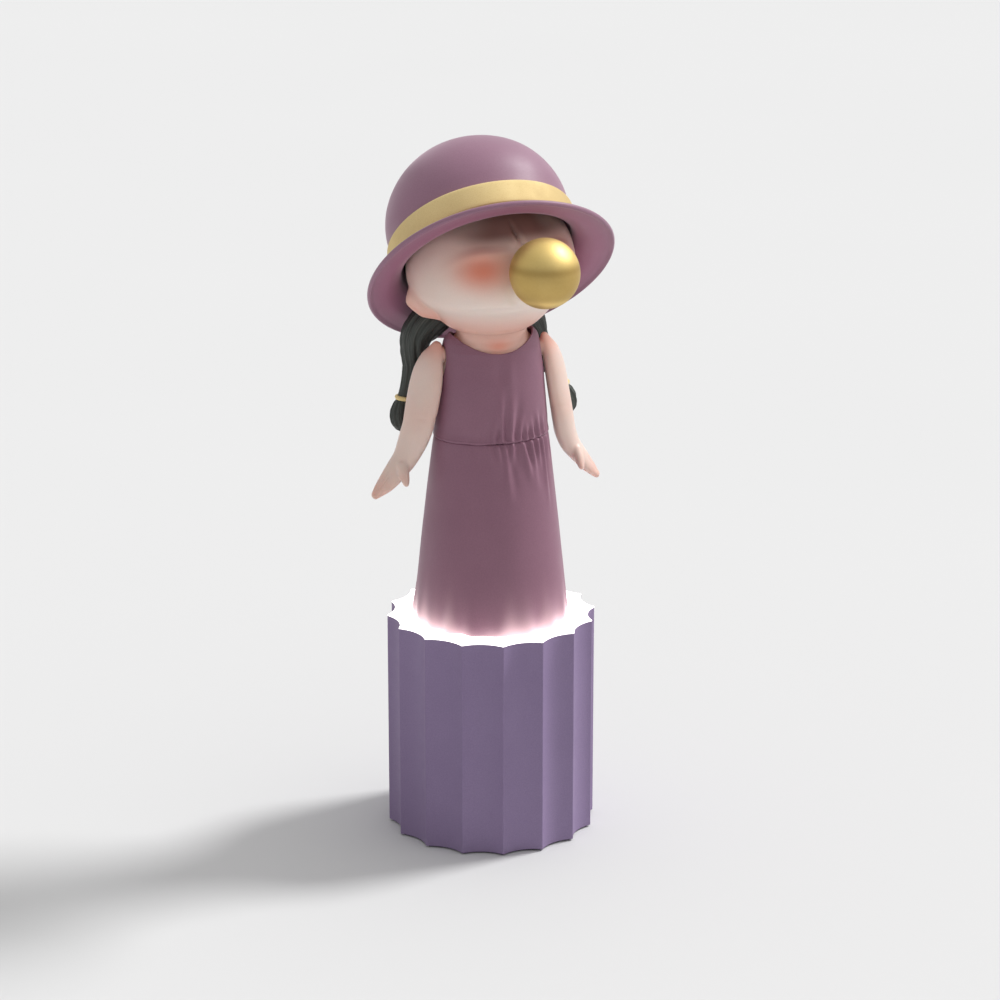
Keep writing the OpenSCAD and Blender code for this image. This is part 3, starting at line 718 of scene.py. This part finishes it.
def hat():
    around = circle(200)
    rings = []
    line, turn_under = hat_outline()
    for r, h in line:
        reach = step(r, CROWN_R, BRIM_R)
        wave = reach * (0.55 * np.sin(2 * around + 0.6) + 0.35 * np.sin(3 * around + 2.0))
        ring = oval(r, r, h + wave, around)
        soft = wobble(ring, 26, 3)
        dent = 0.28 * soft * (1 - reach)
        ring[:, :2] *= (1 + dent / max(r, 8))[:, None]
        rings.append(ring)
    rings = [[[0, 0, CROWN_C + CROWN_H]]] + rings + [[[0, 0, CROWN_C + CROWN_H - HAT_T]]]
    obj = loft("hat", [in_hat_frame(r) for r in rings])
    # the brim's underside is painted darker and more saturated, as painted shade, all but its rolled rim
    painted_brim_shade = 0.85 * step(np.arange(len(rings)) - 1, turn_under, turn_under + 12)
    set_attribute(obj, "painted_brim_shade", np.repeat(painted_brim_shade, [len(r) for r in rings]))
    finish_piece(obj, "head", "mauve_vinyl", "hat_shell")


def hat_band():
    """Gold band with soft edges; its end laps over at the back."""
    around = circle(220)
    lap = step(around, 1.62, 1.64) * (1 - step(around, 1.98, 2.0))
    rings = []
    half = (BAND_TOP - BAND_LOW) / 2
    for t in circle(44):
        c, s = cos(t), sin(t)
        flat = copysign(abs(s) ** 0.35, s)
        thick = 0.9 * copysign(abs(c) ** 0.6, c)
        r = CROWN_R + 0.75 + thick + (0.55 * lap if c > 0 else 0)
        r = r + 0.12 * np.sin(5 * around + 1) * (c > 0)
        h = (BAND_TOP + BAND_LOW) / 2 + half * flat + 0.15 * np.sin(2 * around)
        rings.append(oval(r, r, h, around))
    obj = loft("hat_band", [in_hat_frame(r) for r in rings], closed=True)
    # painted shade: the band's left end darker, its right side dulled against the key light's highlight, with
    # faint streaks
    painted_band_shade = 0.12 * bell(around, 3.35, 0.25) + 0.06 * (0.5 + 0.5 * np.sin(9 * around + 1))
    painted_band_shade += 0.32 * bell(around, 5.5, 0.5)
    set_attribute(obj, "shade", np.tile(painted_band_shade, len(rings)))
    finish_piece(obj, "head", "gold_paint", "hat_band")


# ---- bubble -----------------------------------------------------------
def bubble():
    """Blown bubble that draws in to a short neck at the lips."""
    mouth = turn_z(MOUTH, HEAD_TURN)
    axis = mouth - BUBBLE
    length = np.linalg.norm(axis)
    axis /= length
    out = unit(np.cross(axis, [0, 0, 1]))
    up = np.cross(out, axis)
    around = circle(128)
    neck_r = 1.9
    profile = []
    join = asin(0.36)
    for t in np.linspace(pi, join, 84)[1:]:
        profile.append((BUBBLE_R * cos(t), BUBBLE_R * sin(t)))
    start_x, start_r = profile[-1]
    for f in np.linspace(0, 1, 16)[1:]:
        profile.append((start_x + (length + 1.0 - start_x) * f,
                        neck_r + (start_r - neck_r) * (1 - f) ** 2.6))
    rings = [BUBBLE - axis * BUBBLE_R]
    for x, r in profile:
        size = r * (1 + 0.004 * np.sin(3 * around + x / 5))
        rings.append(hoop(BUBBLE + axis * x, size, size, out, up, around))
    rings.append(BUBBLE + axis * (length + 1.0))
    obj = loft("bubble", rings)
    low = (BUBBLE[2] - points_of(obj)[:, 2]) / BUBBLE_R
    # painted reflections: a dark belt below the middle, a darker lower half and a paler foot where the lit plate
    # is reflected
    shade = 0.5 * bell(low, -0.22, 0.14) + 0.4 * step(low, -0.25, 0.05)
    set_attribute(obj, "shade", shade * (1 - 0.9 * bell(low, 0.74, 0.1)))
    finish_piece(obj, "head", "gold_paint", "bubble", "bubble_peg", look="bubble_gold")


# ---- body -------------------------------------------------------------
def cloth(z):
    """Thickness of the dress, thinner towards the neckline."""
    return CLOTH - 0.9 * step(z, 238, SLOPE_Z)


def cloth_lean(z):
    """How far the dress's outside lies above its inside, where it slopes to the neckline."""
    return cloth(z) * max(0, z - SLOPE_Z) / (DRESS_TOP - SLOPE_Z)


def torso():
    """Bare chest under the dress, which runs up to the chin without a waist at the neck."""
    angles = circle(160)
    levels = np.concatenate([np.linspace(TORSO_LOW, SLOPE_Z, 24),
                             np.linspace(SLOPE_Z + 0.6, NECK_Z, 40)])
    chin = cos(egg_start(HEAD_LOW))
    top = oval(HEAD_A * chin + CHIN_OUT, HEAD_B * chin + CHIN_OUT, 0, angles - HEAD_TURN)
    top = turn_z(top, HEAD_TURN)
    rings = [[0, 0, TORSO_LOW]]
    for z in levels:
        raised = min(z + cloth_lean(z), DRESS_TOP)
        chest = oval(bodice_a(raised) - cloth(z) - 0.05, bodice_b(raised) - cloth(z) - 0.05,
                     z, angles)
        up = step(z, 252, 261) if z > 252 else 0.0
        ring = chest * (1 - up) + (top + [0, 0, z]) * up
        # the chest never draws in behind the chin
        wide = np.maximum(np.hypot(ring[:, 0], ring[:, 1]),
                          (np.hypot(top[:, 0], top[:, 1])) * step(z, 240, 254))
        bone = 0.4 * bell(z, 255.5, 1.8) * (bell(angles, radians(246), 0.3)
                                            + bell(angles, radians(294), 0.3))
        fillet = chin_fillet(angles - HEAD_TURN + pi / 2) * step(z, 256.5, 260.5)
        scale = (wide + bone + fillet) / np.hypot(ring[:, 0], ring[:, 1])
        rings.append(ring * np.stack([scale, scale, 1 + 0 * scale], -1))
    bore = oval(NECK_BORE_R - 0.06, NECK_BORE_R - 0.06, NECK_Z, angles)
    rings += [bore, bore - [0, 0, NECK_BORE_DEEP], [0, 0, NECK_Z - NECK_BORE_DEEP]]
    obj = loft("torso", rings)
    p = points_of(obj)
    # blush on the upper chest, and painted shade in the hollow at the base of the neck
    blush_and_shade = 0.3 * step(p[:, 2], 247, 260)
    blush_and_shade += 0.42 * bell(p[:, 0], -1, 7) * bell(p[:, 2], 255, 4) * (p[:, 1] < 0)
    set_attribute(obj, "blush_and_shade", np.clip(blush_and_shade, 0, 1))
    set_attribute(obj, "shade", 0 * blush_and_shade)
    obj.data.set_sharp_from_angle(angle=radians(60))
    finish_piece(obj, "base", "skin_vinyl", "upper_body")


# Gathers of the dress: angle, half width in degrees, height, reach and slant
BODICE_GATHERS = [(-111, 2.6, 0.4, 18, 0.1), (-102, 2.4, 0.7, 20, 0.2),
                  (-93, 2.4, 0.95, 30, 0.0), (-84, 3.0, 1.0, 28, 0.12), (-75, 2.2, 0.7, 15, 0.25),
                  (-67, 2.2, 0.8, 13, 0.1), (-58, 2.2, 0.7, 14, -0.15), (-48, 2.4, 0.65, 17, -0.2),
                  (-38, 2.2, 0.5, 12, -0.1), (-122, 3.0, 0.25, 12, 0.1), (52, 2.6, 0.6, 18, 0.1),
                  (66, 2.4, 0.7, 22, -0.1), (78, 2.2, 0.5, 14, 0.1), (92, 2.8, 0.7, 20, 0.0),
                  (106, 2.2, 0.6, 15, 0.2), (121, 2.6, 0.5, 22, 0.1)]
SKIRT_GATHERS = [(-107, 2.4, 0.5, 20, 0.5), (-98, 2.0, 0.8, 18, 0.2),
                 (-91, 2.2, 0.7, 34, 0.1), (-82, 2.0, 0.7, 15, -0.3),
                 (-72, 2.4, 0.95, 26, 0.35), (-61, 2.4, 0.9, 30, 0.1), (-51, 2.0, 0.7, 20, -0.1),
                 (-43, 1.8, 0.6, 42, -0.05), (-33, 2.2, 0.5, 16, 0.0), (-128, 3.0, 0.25, 14, 0.2),
                 (44, 2.2, 0.6, 24, 0.2), (57, 2.4, 0.8, 32, 0.1), (70, 2.0, 0.6, 18, -0.2),
                 (83, 2.4, 0.8, 38, 0.0), (97, 2.2, 0.7, 22, 0.2), (112, 2.4, 0.6, 28, -0.1),
                 (127, 2.2, 0.45, 18, 0.0)]


GATHER_DEPTH = 1.55     # millimetres that a gather of height 1 stands out


def gather_relief(angles, away, gathers):
    """Height of the gathers at a distance from the waist seam."""
    degrees = np.degrees(angles)
    relief = np.zeros_like(angles)
    for at, wide, tall, reach, slant in gathers:
        off = (degrees - at - slant * away + 180) % 360 - 180
        fade = (1 - step(away, reach * 0.25, reach)) * step(away, -0.5, 1.2)
        spread = wide * (1 + 0.8 * away / reach)
        relief += GATHER_DEPTH * tall * fade * (
            np.exp(-(off / spread) ** 2) - 0.55 * np.exp(-((off - 1.9 * spread) / spread) ** 2))
    return relief


ARMHOLE = {"y": 5.2, "z": 9.4, "middle": 245.2}
NECKLINE = {"r": 33.7, "z": 286.1, "tilt": radians(3)}


def neckline_z(x, y):
    """Height of the neckline's scoop at a place, or the top of the dress beyond it."""
    under = NECKLINE["r"] ** 2 - x ** 2
    return NECKLINE["z"] + tan(NECKLINE["tilt"]) * y - np.sqrt(np.maximum(under, 0))


def bodice():
    angles = circle(240, -pi)
    levels = np.concatenate([np.linspace(WAIST_Z + 1.0, SLOPE_Z, 60),
                             np.linspace(SLOPE_Z + 0.6, DRESS_TOP, 26)])

    def wall(inset, z):
        a, b = bodice_a(z) - inset, bodice_b(z) - inset
        relief = 0
        if not inset:
            relief = gather_relief(angles, z - WAIST_Z, BODICE_GATHERS)
            relief -= 0.8 * bell(angles, radians(-93), 0.11) * bell(z, 243, 7)
            relief += 0.5 * bell(angles, radians(-81), 0.1) * bell(z, 240, 9)
            relief += 0.5 * (1 - step(z, WAIST_Z, WAIST_Z + 4))
            relief *= 1 - step(z, 246, 256)
            sides = bell(np.abs(np.cos(angles)), 1, 0.06)
            relief += 0.3 * sides * bell(z, 247, 8)
        ring = oval(a + relief, b + relief, z, angles)
        if not inset:
            ring += 0.12 * wobble(ring, 9, 5)[:, None] * [1, 1, 0]
        return ring

    outer = [wall(0, z) for z in levels]
    inner = [wall(cloth(z), z) - [0, 0, cloth_lean(z)] for z in levels[::2][::-1]]
    obj = loft("bodice", outer + inner, closed=True)

    cutters = [cylinder_mesh("scoop", NECKLINE["r"], 60, (0, 0, NECKLINE["z"]),
                             Matrix.Rotation(radians(90) + NECKLINE["tilt"], 3, "X"))]
    for s in (-1, 1):
        hole = cylinder_mesh("armhole", 1, 22, (s * 31, 0, ARMHOLE["middle"]),
                             Matrix.Rotation(radians(90), 3, "Y"),
                             (1, ARMHOLE["y"], ARMHOLE["z"]))
        cutters.append(hole)
    for cutter in cutters:
        cut = obj.modifiers.new("cut", "BOOLEAN")
        cut.operation = "DIFFERENCE"
        cut.solver = "EXACT"
        cut.object = cutter
    apply_modifiers(obj)
    for cutter in cutters:
        bpy.data.objects.remove(cutter)
    obj.data.set_sharp_from_angle(angle=radians(40))
    finish_piece(obj, "base", "mauve_vinyl", "bodice", look="dress_vinyl")
    armhole_edges()
    neckline_edge()


def cylinder_mesh(name, r, height, at, turn, scale=(1, 1, 1)):
    """Cutter that isn't part of the object."""
    around = circle(96)
    rings = []
    for h in (-height / 2, height / 2):
        ring = oval(r, r, h, around)
        ring = (ring @ np.array(turn).T) * scale + np.array(at)
        rings.append(ring)
    return loft(name, [rings[0].mean(0)] + rings + [rings[1].mean(0)])


def piping(name, path, r, closed=True, ruffle=0.0, seed=0):
    """Soft raised edge of the dress along a path."""
    path = np.asarray(path, float)
    count = len(path)
    around = circle(14)
    rings = []
    for k in range(count):
        before = path[(k - 1) % count if closed else max(k - 1, 0)]
        after = path[(k + 1) % count if closed else min(k + 1, count - 1)]
        heading = unit(after - before)
        across = unit(np.cross(heading, unit(path[k] * [1, 1, 0])))
        outward = np.cross(across, heading)
        size = r * (1 + ruffle * noise.noise(Vector(path[k]) / 1.6 + Vector((seed, 0, 0))))
        rings.append(hoop(path[k], size, size, outward, across, around))
    if not closed:
        rings = [path[0]] + rings + [path[-1]]
    return loft(name, rings, closed=closed)


def surface_x(y, z, inset):
    """Side of the dress at a depth and height."""
    a, b = bodice_a(z) - inset, bodice_b(z) - inset
    return a * np.sqrt(np.maximum(1 - (y / b) ** 2, 0.0))


def armhole_edges():
    for s in (-1, 1):
        t = circle(120)
        y = ARMHOLE["y"] * np.sin(t)
        z = ARMHOLE["middle"] + ARMHOLE["z"] * np.cos(t)
        x = surface_x(y, z, 0.4)
        obj = piping(f"armhole_{'left' if s > 0 else 'right'}", np.stack([s * x, y, z], -1), 0.55,
                     ruffle=0.6, seed=3 * s)
        finish_piece(obj, "base", "mauve_vinyl", look="dress_vinyl")


def neckline_edge():
    """Rolled edge round the scoop, front and back."""
    for name, sign in (("neckline_front", -1), ("neckline_back", 1)):
        path = []
        for x in 21.4 * np.sin(np.linspace(-pi / 2, pi / 2, 140)):
            y = sign * 12.0
            for _ in range(30):
                z = float(min(neckline_z(x, y), DRESS_TOP - 0.3))
                a, b = bodice_a(z) - 0.45, bodice_b(z) - 0.45
                y = (y + sign * float(b * np.sqrt(max(1 - (x / a) ** 2, 0.004)))) / 2
            path.append([x, y, z])
        obj = piping(name, path, 0.42, closed=False, ruffle=0.25)
        finish_piece(obj, "base", "mauve_vinyl", look="dress_vinyl")


def waist_band():
    """Thin lip where the bodice blouses over the skirt, ruffled where the dress is gathered."""
    angles = circle(360, -pi)
    ruffle = gather_relief(angles, np.full_like(angles, 1.2), BODICE_GATHERS)
    rings = []
    for t in circle(28):
        c, s = cos(t), sin(t)
        wide = (0.7 if c > 0 else 1.6) * c
        # full and round above, sharper underneath
        tall = (1.5 if s > 0 else 0.75) * s * (1 - 0.25 * c) + 0.25 * ruffle
        proud = 0.4 * ruffle * (c > 0)
        rings.append(oval(WAIST_A - 0.25 + wide + proud, WAIST_B - 0.25 + wide + proud,
                          WAIST_Z + tall, angles))
    obj = loft("waist_band", rings, closed=True)
    p = points_of(obj)
    p += 0.16 * wobble(p, 4, 8)[:, None]
    move_points(obj, p)
    finish_piece(obj, "base", "mauve_vinyl", "waist_band", look="dress_vinyl")


def skirt():
    angles = circle(HEM_FOLDS * 16, -pi)
    levels = np.concatenate([np.linspace(PLATE_Z, 120, 22), np.linspace(121, 168, 26),
                             np.linspace(169.5, WAIST_Z - 0.4, 44)])

    def wall(z, inset):
        a, b = skirt_size(z)
        up = z - PLATE_Z
        tuck = 0.6 * max(0, 1 - up / 6) ** 2
        a, b = a - tuck - inset, b - tuck - inset
        if inset:
            return oval(a, b, z, angles)
        fold = max(0, 1 - up / 24) ** 2
        wave = np.cos(HEM_FOLDS * angles + 0.7 * np.sin(3 * angles + 1))
        relief = 1.05 * fold * wave * (0.7 + 0.45 * np.sin(5 * angles + 1))
        relief += gather_relief(angles, WAIST_Z - z, SKIRT_GATHERS)
        # long soft folds from the gathers to the hem
        relief += 0.3 * step(WAIST_Z - z, 6, 40) * np.sin(7 * angles + 0.8) * (
            1 - 0.5 * step(z, 112, 130))
        relief -= 0.15 * step(z, WAIST_Z - 2.2, WAIST_Z - 0.6)
        ring = oval(a + relief, b + relief, z, angles)
        return ring + 0.12 * wobble(ring, 16, 9)[:, None] * [1, 1, 0]

    outer = [wall(z, 0) for z in levels]
    inner = [wall(z, CLOTH) for z in levels[::4][::-1]]
    obj = loft("skirt", outer + inner, closed=True)
    p = points_of(obj)
    up = p[:, 2] - PLATE_Z
    round_hem = np.arctan2(p[:, 1], p[:, 0])
    fold = np.sin(HEM_FOLDS * round_hem + 2 + 0.7 * np.sin(3 * round_hem + 1))
    # painted light from the lit plate up the hem, least on the front, which keeps dark down to its edge
    far = 1 - 0.85 * bell(round_hem, radians(-117), 0.27)
    reach = 0.6 + far * (3.4 + 1.6 * fold * np.sin(5 * round_hem + 1))
    glow = 0.95 * np.exp(-up / reach) + 0.14 * np.exp(-up / 8)
    set_attribute(obj, "glow", glow * (0.2 + 0.8 * far))
    finish_piece(obj, "base", "mauve_vinyl", "skirt", look="skirt_vinyl")


# ---- arms -------------------------------------------------------------
# Left arm from the shoulder to the finger tips: place, half width and half thickness
ARM = [[27.7, 0, 255.2, 2.6, 1.8], [29.1, -0.1, 251, 5.2, 3.0], [31.0, -0.2, 247, 7.0, 3.7],
       [32.6, -0.4, 241.5, 8.6, 4.2], [34.0, -0.4, 234.5, 9.4, 4.5], [35.7, 0, 225, 9.5, 4.6],
       [37.0, 0.4, 218, 9.1, 4.8], [38.2, 1.2, 212, 8.6, 4.9], [40.4, 3.6, 203.8, 7.9, 4.9],
       [43.4, 4.8, 196.5, 6.9, 4.6], [47.5, 5.1, 190.8, 6.5, 3.9], [52, 5.4, 185.2, 5.6, 3.1],
       [56, 6.3, 180.6, 4.0, 2.3], [58.9, 7.0, 177.2, 2.2, 1.6]]
THUMB = [[45.8, 1.5, 193.5, 3.4, 3.0], [46.0, -2.2, 190, 2.7, 2.5], [46.0, -4.8, 187.4, 2.1, 1.9],
         [46.0, -6.2, 185.8, 1.4, 1.3]]
ARM_LEAN = radians(37)     # the arms' width runs back and outwards, round the body
ARM_WIDE = np.array([sin(ARM_LEAN), cos(ARM_LEAN), 0])


def limb(rows, count):
    """Rings of a flattened tube with round ends."""
    path = smooth_path(rows, count)
    around = circle(48)
    headings = np.gradient(path[:, :3], axis=0)
    headings /= np.linalg.norm(headings, axis=1, keepdims=True)
    rings = []
    for k, (x, y, z, wide, thick) in enumerate(path):
        across = unit(ARM_WIDE - headings[k] * (headings[k] @ ARM_WIDE))
        out = np.cross(across, headings[k])
        rings.append(hoop([x, y, z], wide, thick, across, out, around))
    for end, sign in ((0, -1), (-1, 1)):
        base, middle = rings[end], path[end][:3]
        depth = 0.75 * path[end][4]
        caps = [middle + (base - middle) * cos(t) + sign * headings[end] * depth * sin(t)
                for t in np.radians([25, 50, 70, 82])]
        tip = middle + sign * headings[end] * depth
        rings = [tip] + caps[::-1] + rings if end == 0 else rings + caps + [tip]
    return rings


def arm(side):
    name = "arm_left" if side > 0 else "arm_right"
    stub = cylinder_mesh("shoulder", 4.0, 6, (SHOULDER[0] + 1.4, 0, SHOULDER[2]),
                         Matrix.Rotation(radians(90), 3, "Y"))
    pieces = [loft("limb", limb(ARM, 100)), loft("thumb", limb(THUMB, 24)), stub]
    obj = pieces[0]
    bm = bmesh.new()
    for piece in pieces:
        bm.from_mesh(piece.data)
    bm.to_mesh(obj.data)
    bm.free()
    for piece in pieces[1:]:
        bpy.data.objects.remove(piece)
    remesh = obj.modifiers.new("remesh", "REMESH")
    remesh.mode = "VOXEL"
    remesh.voxel_size = 0.5 * MM
    remesh.use_smooth_shade = True
    soften = obj.modifiers.new("soften", "SMOOTH")
    soften.factor = 0.6
    soften.iterations = 8
    apply_modifiers(obj)
    p = points_of(obj)
    normal = normals_of(obj)
    wrist, tip = np.array(ARM[9][:3]), np.array(ARM[-1][:3])
    along = unit(tip - wrist)
    wide = unit(ARM_WIDE - along * (along @ ARM_WIDE))
    d, e = (p - wrist) @ along, (p - wrist) @ wide
    # faint gaps between the closed fingers, on both faces of the hand
    relief = np.zeros(len(p))
    for gap in (-2.1, 0.0, 2.1):
        relief -= 0.34 * bell(e, gap * (1 - 0.02 * d), 0.5) * step(d, 9, 13) * (
            1 - step(d, 21, 24)) * step(np.abs(normal @ np.cross(along, wide)), 0.3, 0.8)
    # crease inside the elbow
    relief -= 0.2 * bell(p[:, 2], 219, 1.3) * step(-p[:, 1], 2, 6)
    p += normal * relief[:, None]
    # the inner side keeps clear of the dress, all but the stub in the armhole
    beyond = np.hypot(p[:, 1], p[:, 2] - SHOULDER[2]) > 4.15
    p[:, 0] = np.where(beyond, np.maximum(p[:, 0], SHOULDER[0] - 0.3), p[:, 0])
    # blush on the hands and elbows; the pink on the shoulder's top and the inner side by the dress is painted
    # shade
    blush_and_shade = 0.3 * bell(p[:, 2], 255, 6) + 0.1 * bell(p[:, 2], 219, 8)
    blush_and_shade += 0.25 * step(d, 8, 24) + 0.15 * bell(p[:, 2], 188, 4) * step(-p[:, 1], 0, 4)
    blush_and_shade += 0.12 * step(36 - p[:, 0], 0, 8) * step(p[:, 2], 200, 240)
    move_points(obj, p * [side, 1, 1])
    if side < 0:
        obj.data.flip_normals()
    set_attribute(obj, "blush_and_shade", np.clip(blush_and_shade, 0, 1))
    set_attribute(obj, "shade", 0 * blush_and_shade)
    obj.name = name
    finish_piece(obj, name, "skin_vinyl", name)


# ---- stage ------------------------------------------------------------
CAMERA_TARGET = (0.00429, -0.00139, 0.17152)
CAMERA_AZIMUTH, CAMERA_ELEVATION, CAMERA_DISTANCE = -18.0, 17.95, 1.7762
CAMERA_LENS, CAMERA_SENSOR = 127.24, 36


def put(name, data, at, back):
    """Places a camera or light that looks the opposite way to back."""
    obj = bpy.data.objects.new(name, data)
    obj.location = at
    obj.rotation_euler = back.to_track_quat("Z", "Y").to_euler()
    bpy.context.scene.collection.objects.link(obj)
    return obj


def camera():
    azimuth, elevation = radians(CAMERA_AZIMUTH), radians(CAMERA_ELEVATION)
    back = Vector((sin(azimuth) * cos(elevation),
                   -cos(azimuth) * cos(elevation), sin(elevation)))
    data = bpy.data.cameras.new("camera")
    data.lens = CAMERA_LENS
    data.sensor_width = CAMERA_SENSOR
    data.clip_end = 50
    at = Vector(CAMERA_TARGET) + back * CAMERA_DISTANCE
    bpy.context.scene.camera = put("camera", data, at, back)


KEY_AT, KEY_STRENGTH, KEY_SIZE = Vector((1.5, 0.22, 1.55)), 2.5, radians(14)
WORLD_BASE = 0.27
FLOOR_HALF = 9000
FLOOR_TONES = (0.685, 0.685, 0.685), (0.69, 0.69, 0.69)
# Soft light from the studio's walls: way it comes from, where its patch begins and is full, gain
SOFTBOXES = [((0.85, 0.35, 0.4), -0.1, 0.9, 0.45), ((-0.8, 0.55, 0.25), 0.5, 0.98, 0.3),
             ((0.0, 0.0, 1.0), 0.4, 1.0, 0.28), ((-0.4, -1.0, 0.1), 0.2, 1.0, 0.16)]


def studio():
    corner = np.array([[-1, -1, 0], [1, -1, 0], [1, 1, 0], [-1, 1, 0]])
    floor = new_object("floor", FLOOR_HALF * corner, [(0, 1, 2, 3)])
    paper = Finish("floor_paper", Specular_IOR_Level=0.1, Roughness=0.9)
    paper.colour(paper.mix(paper.vary(2.5, 2, 0, 1), *FLOOR_TONES))
    floor.data.materials.append(paper.material)

    world = bpy.data.worlds.new("studio")
    world.use_nodes = True
    sky = Nodes(world.node_tree)
    place = sky.node("ShaderNodeTexCoord").outputs["Generated"]
    total = sky.node("ShaderNodeValue").outputs["Value"]
    total.default_value = WORLD_BASE
    for way, low, high, gain in SOFTBOXES:
        toward = sky.node("ShaderNodeVectorMath", {0: place, 1: Vector(way).normalized()},
                          operation="DOT_PRODUCT").outputs["Value"]
        patch = sky.remap(toward, low, high, 0.0, gain, interpolation_type="SMOOTHSTEP")
        total = sky.node("ShaderNodeMath", {0: patch, 1: total}, operation="ADD").outputs["Value"]
    background = sky.tree.nodes["Background"]
    sky.feed(background.inputs["Color"], (1, 1, 1))
    sky.feed(background.inputs["Strength"], total)
    bpy.context.scene.world = world

    key = bpy.data.lights.new("key", "SUN")
    key.energy = KEY_STRENGTH
    key.angle = KEY_SIZE
    put("key", key, KEY_AT, KEY_AT)
    bpy.context.scene.view_settings.view_transform = "Standard"


head()
hair_cap()
for way in (1, -1):
    ponytail(way)
    tail_tie(way)
    arm(way)
hat()
hat_band()
bubble()
torso()
bodice()
waist_band()
skirt()
camera()
studio()
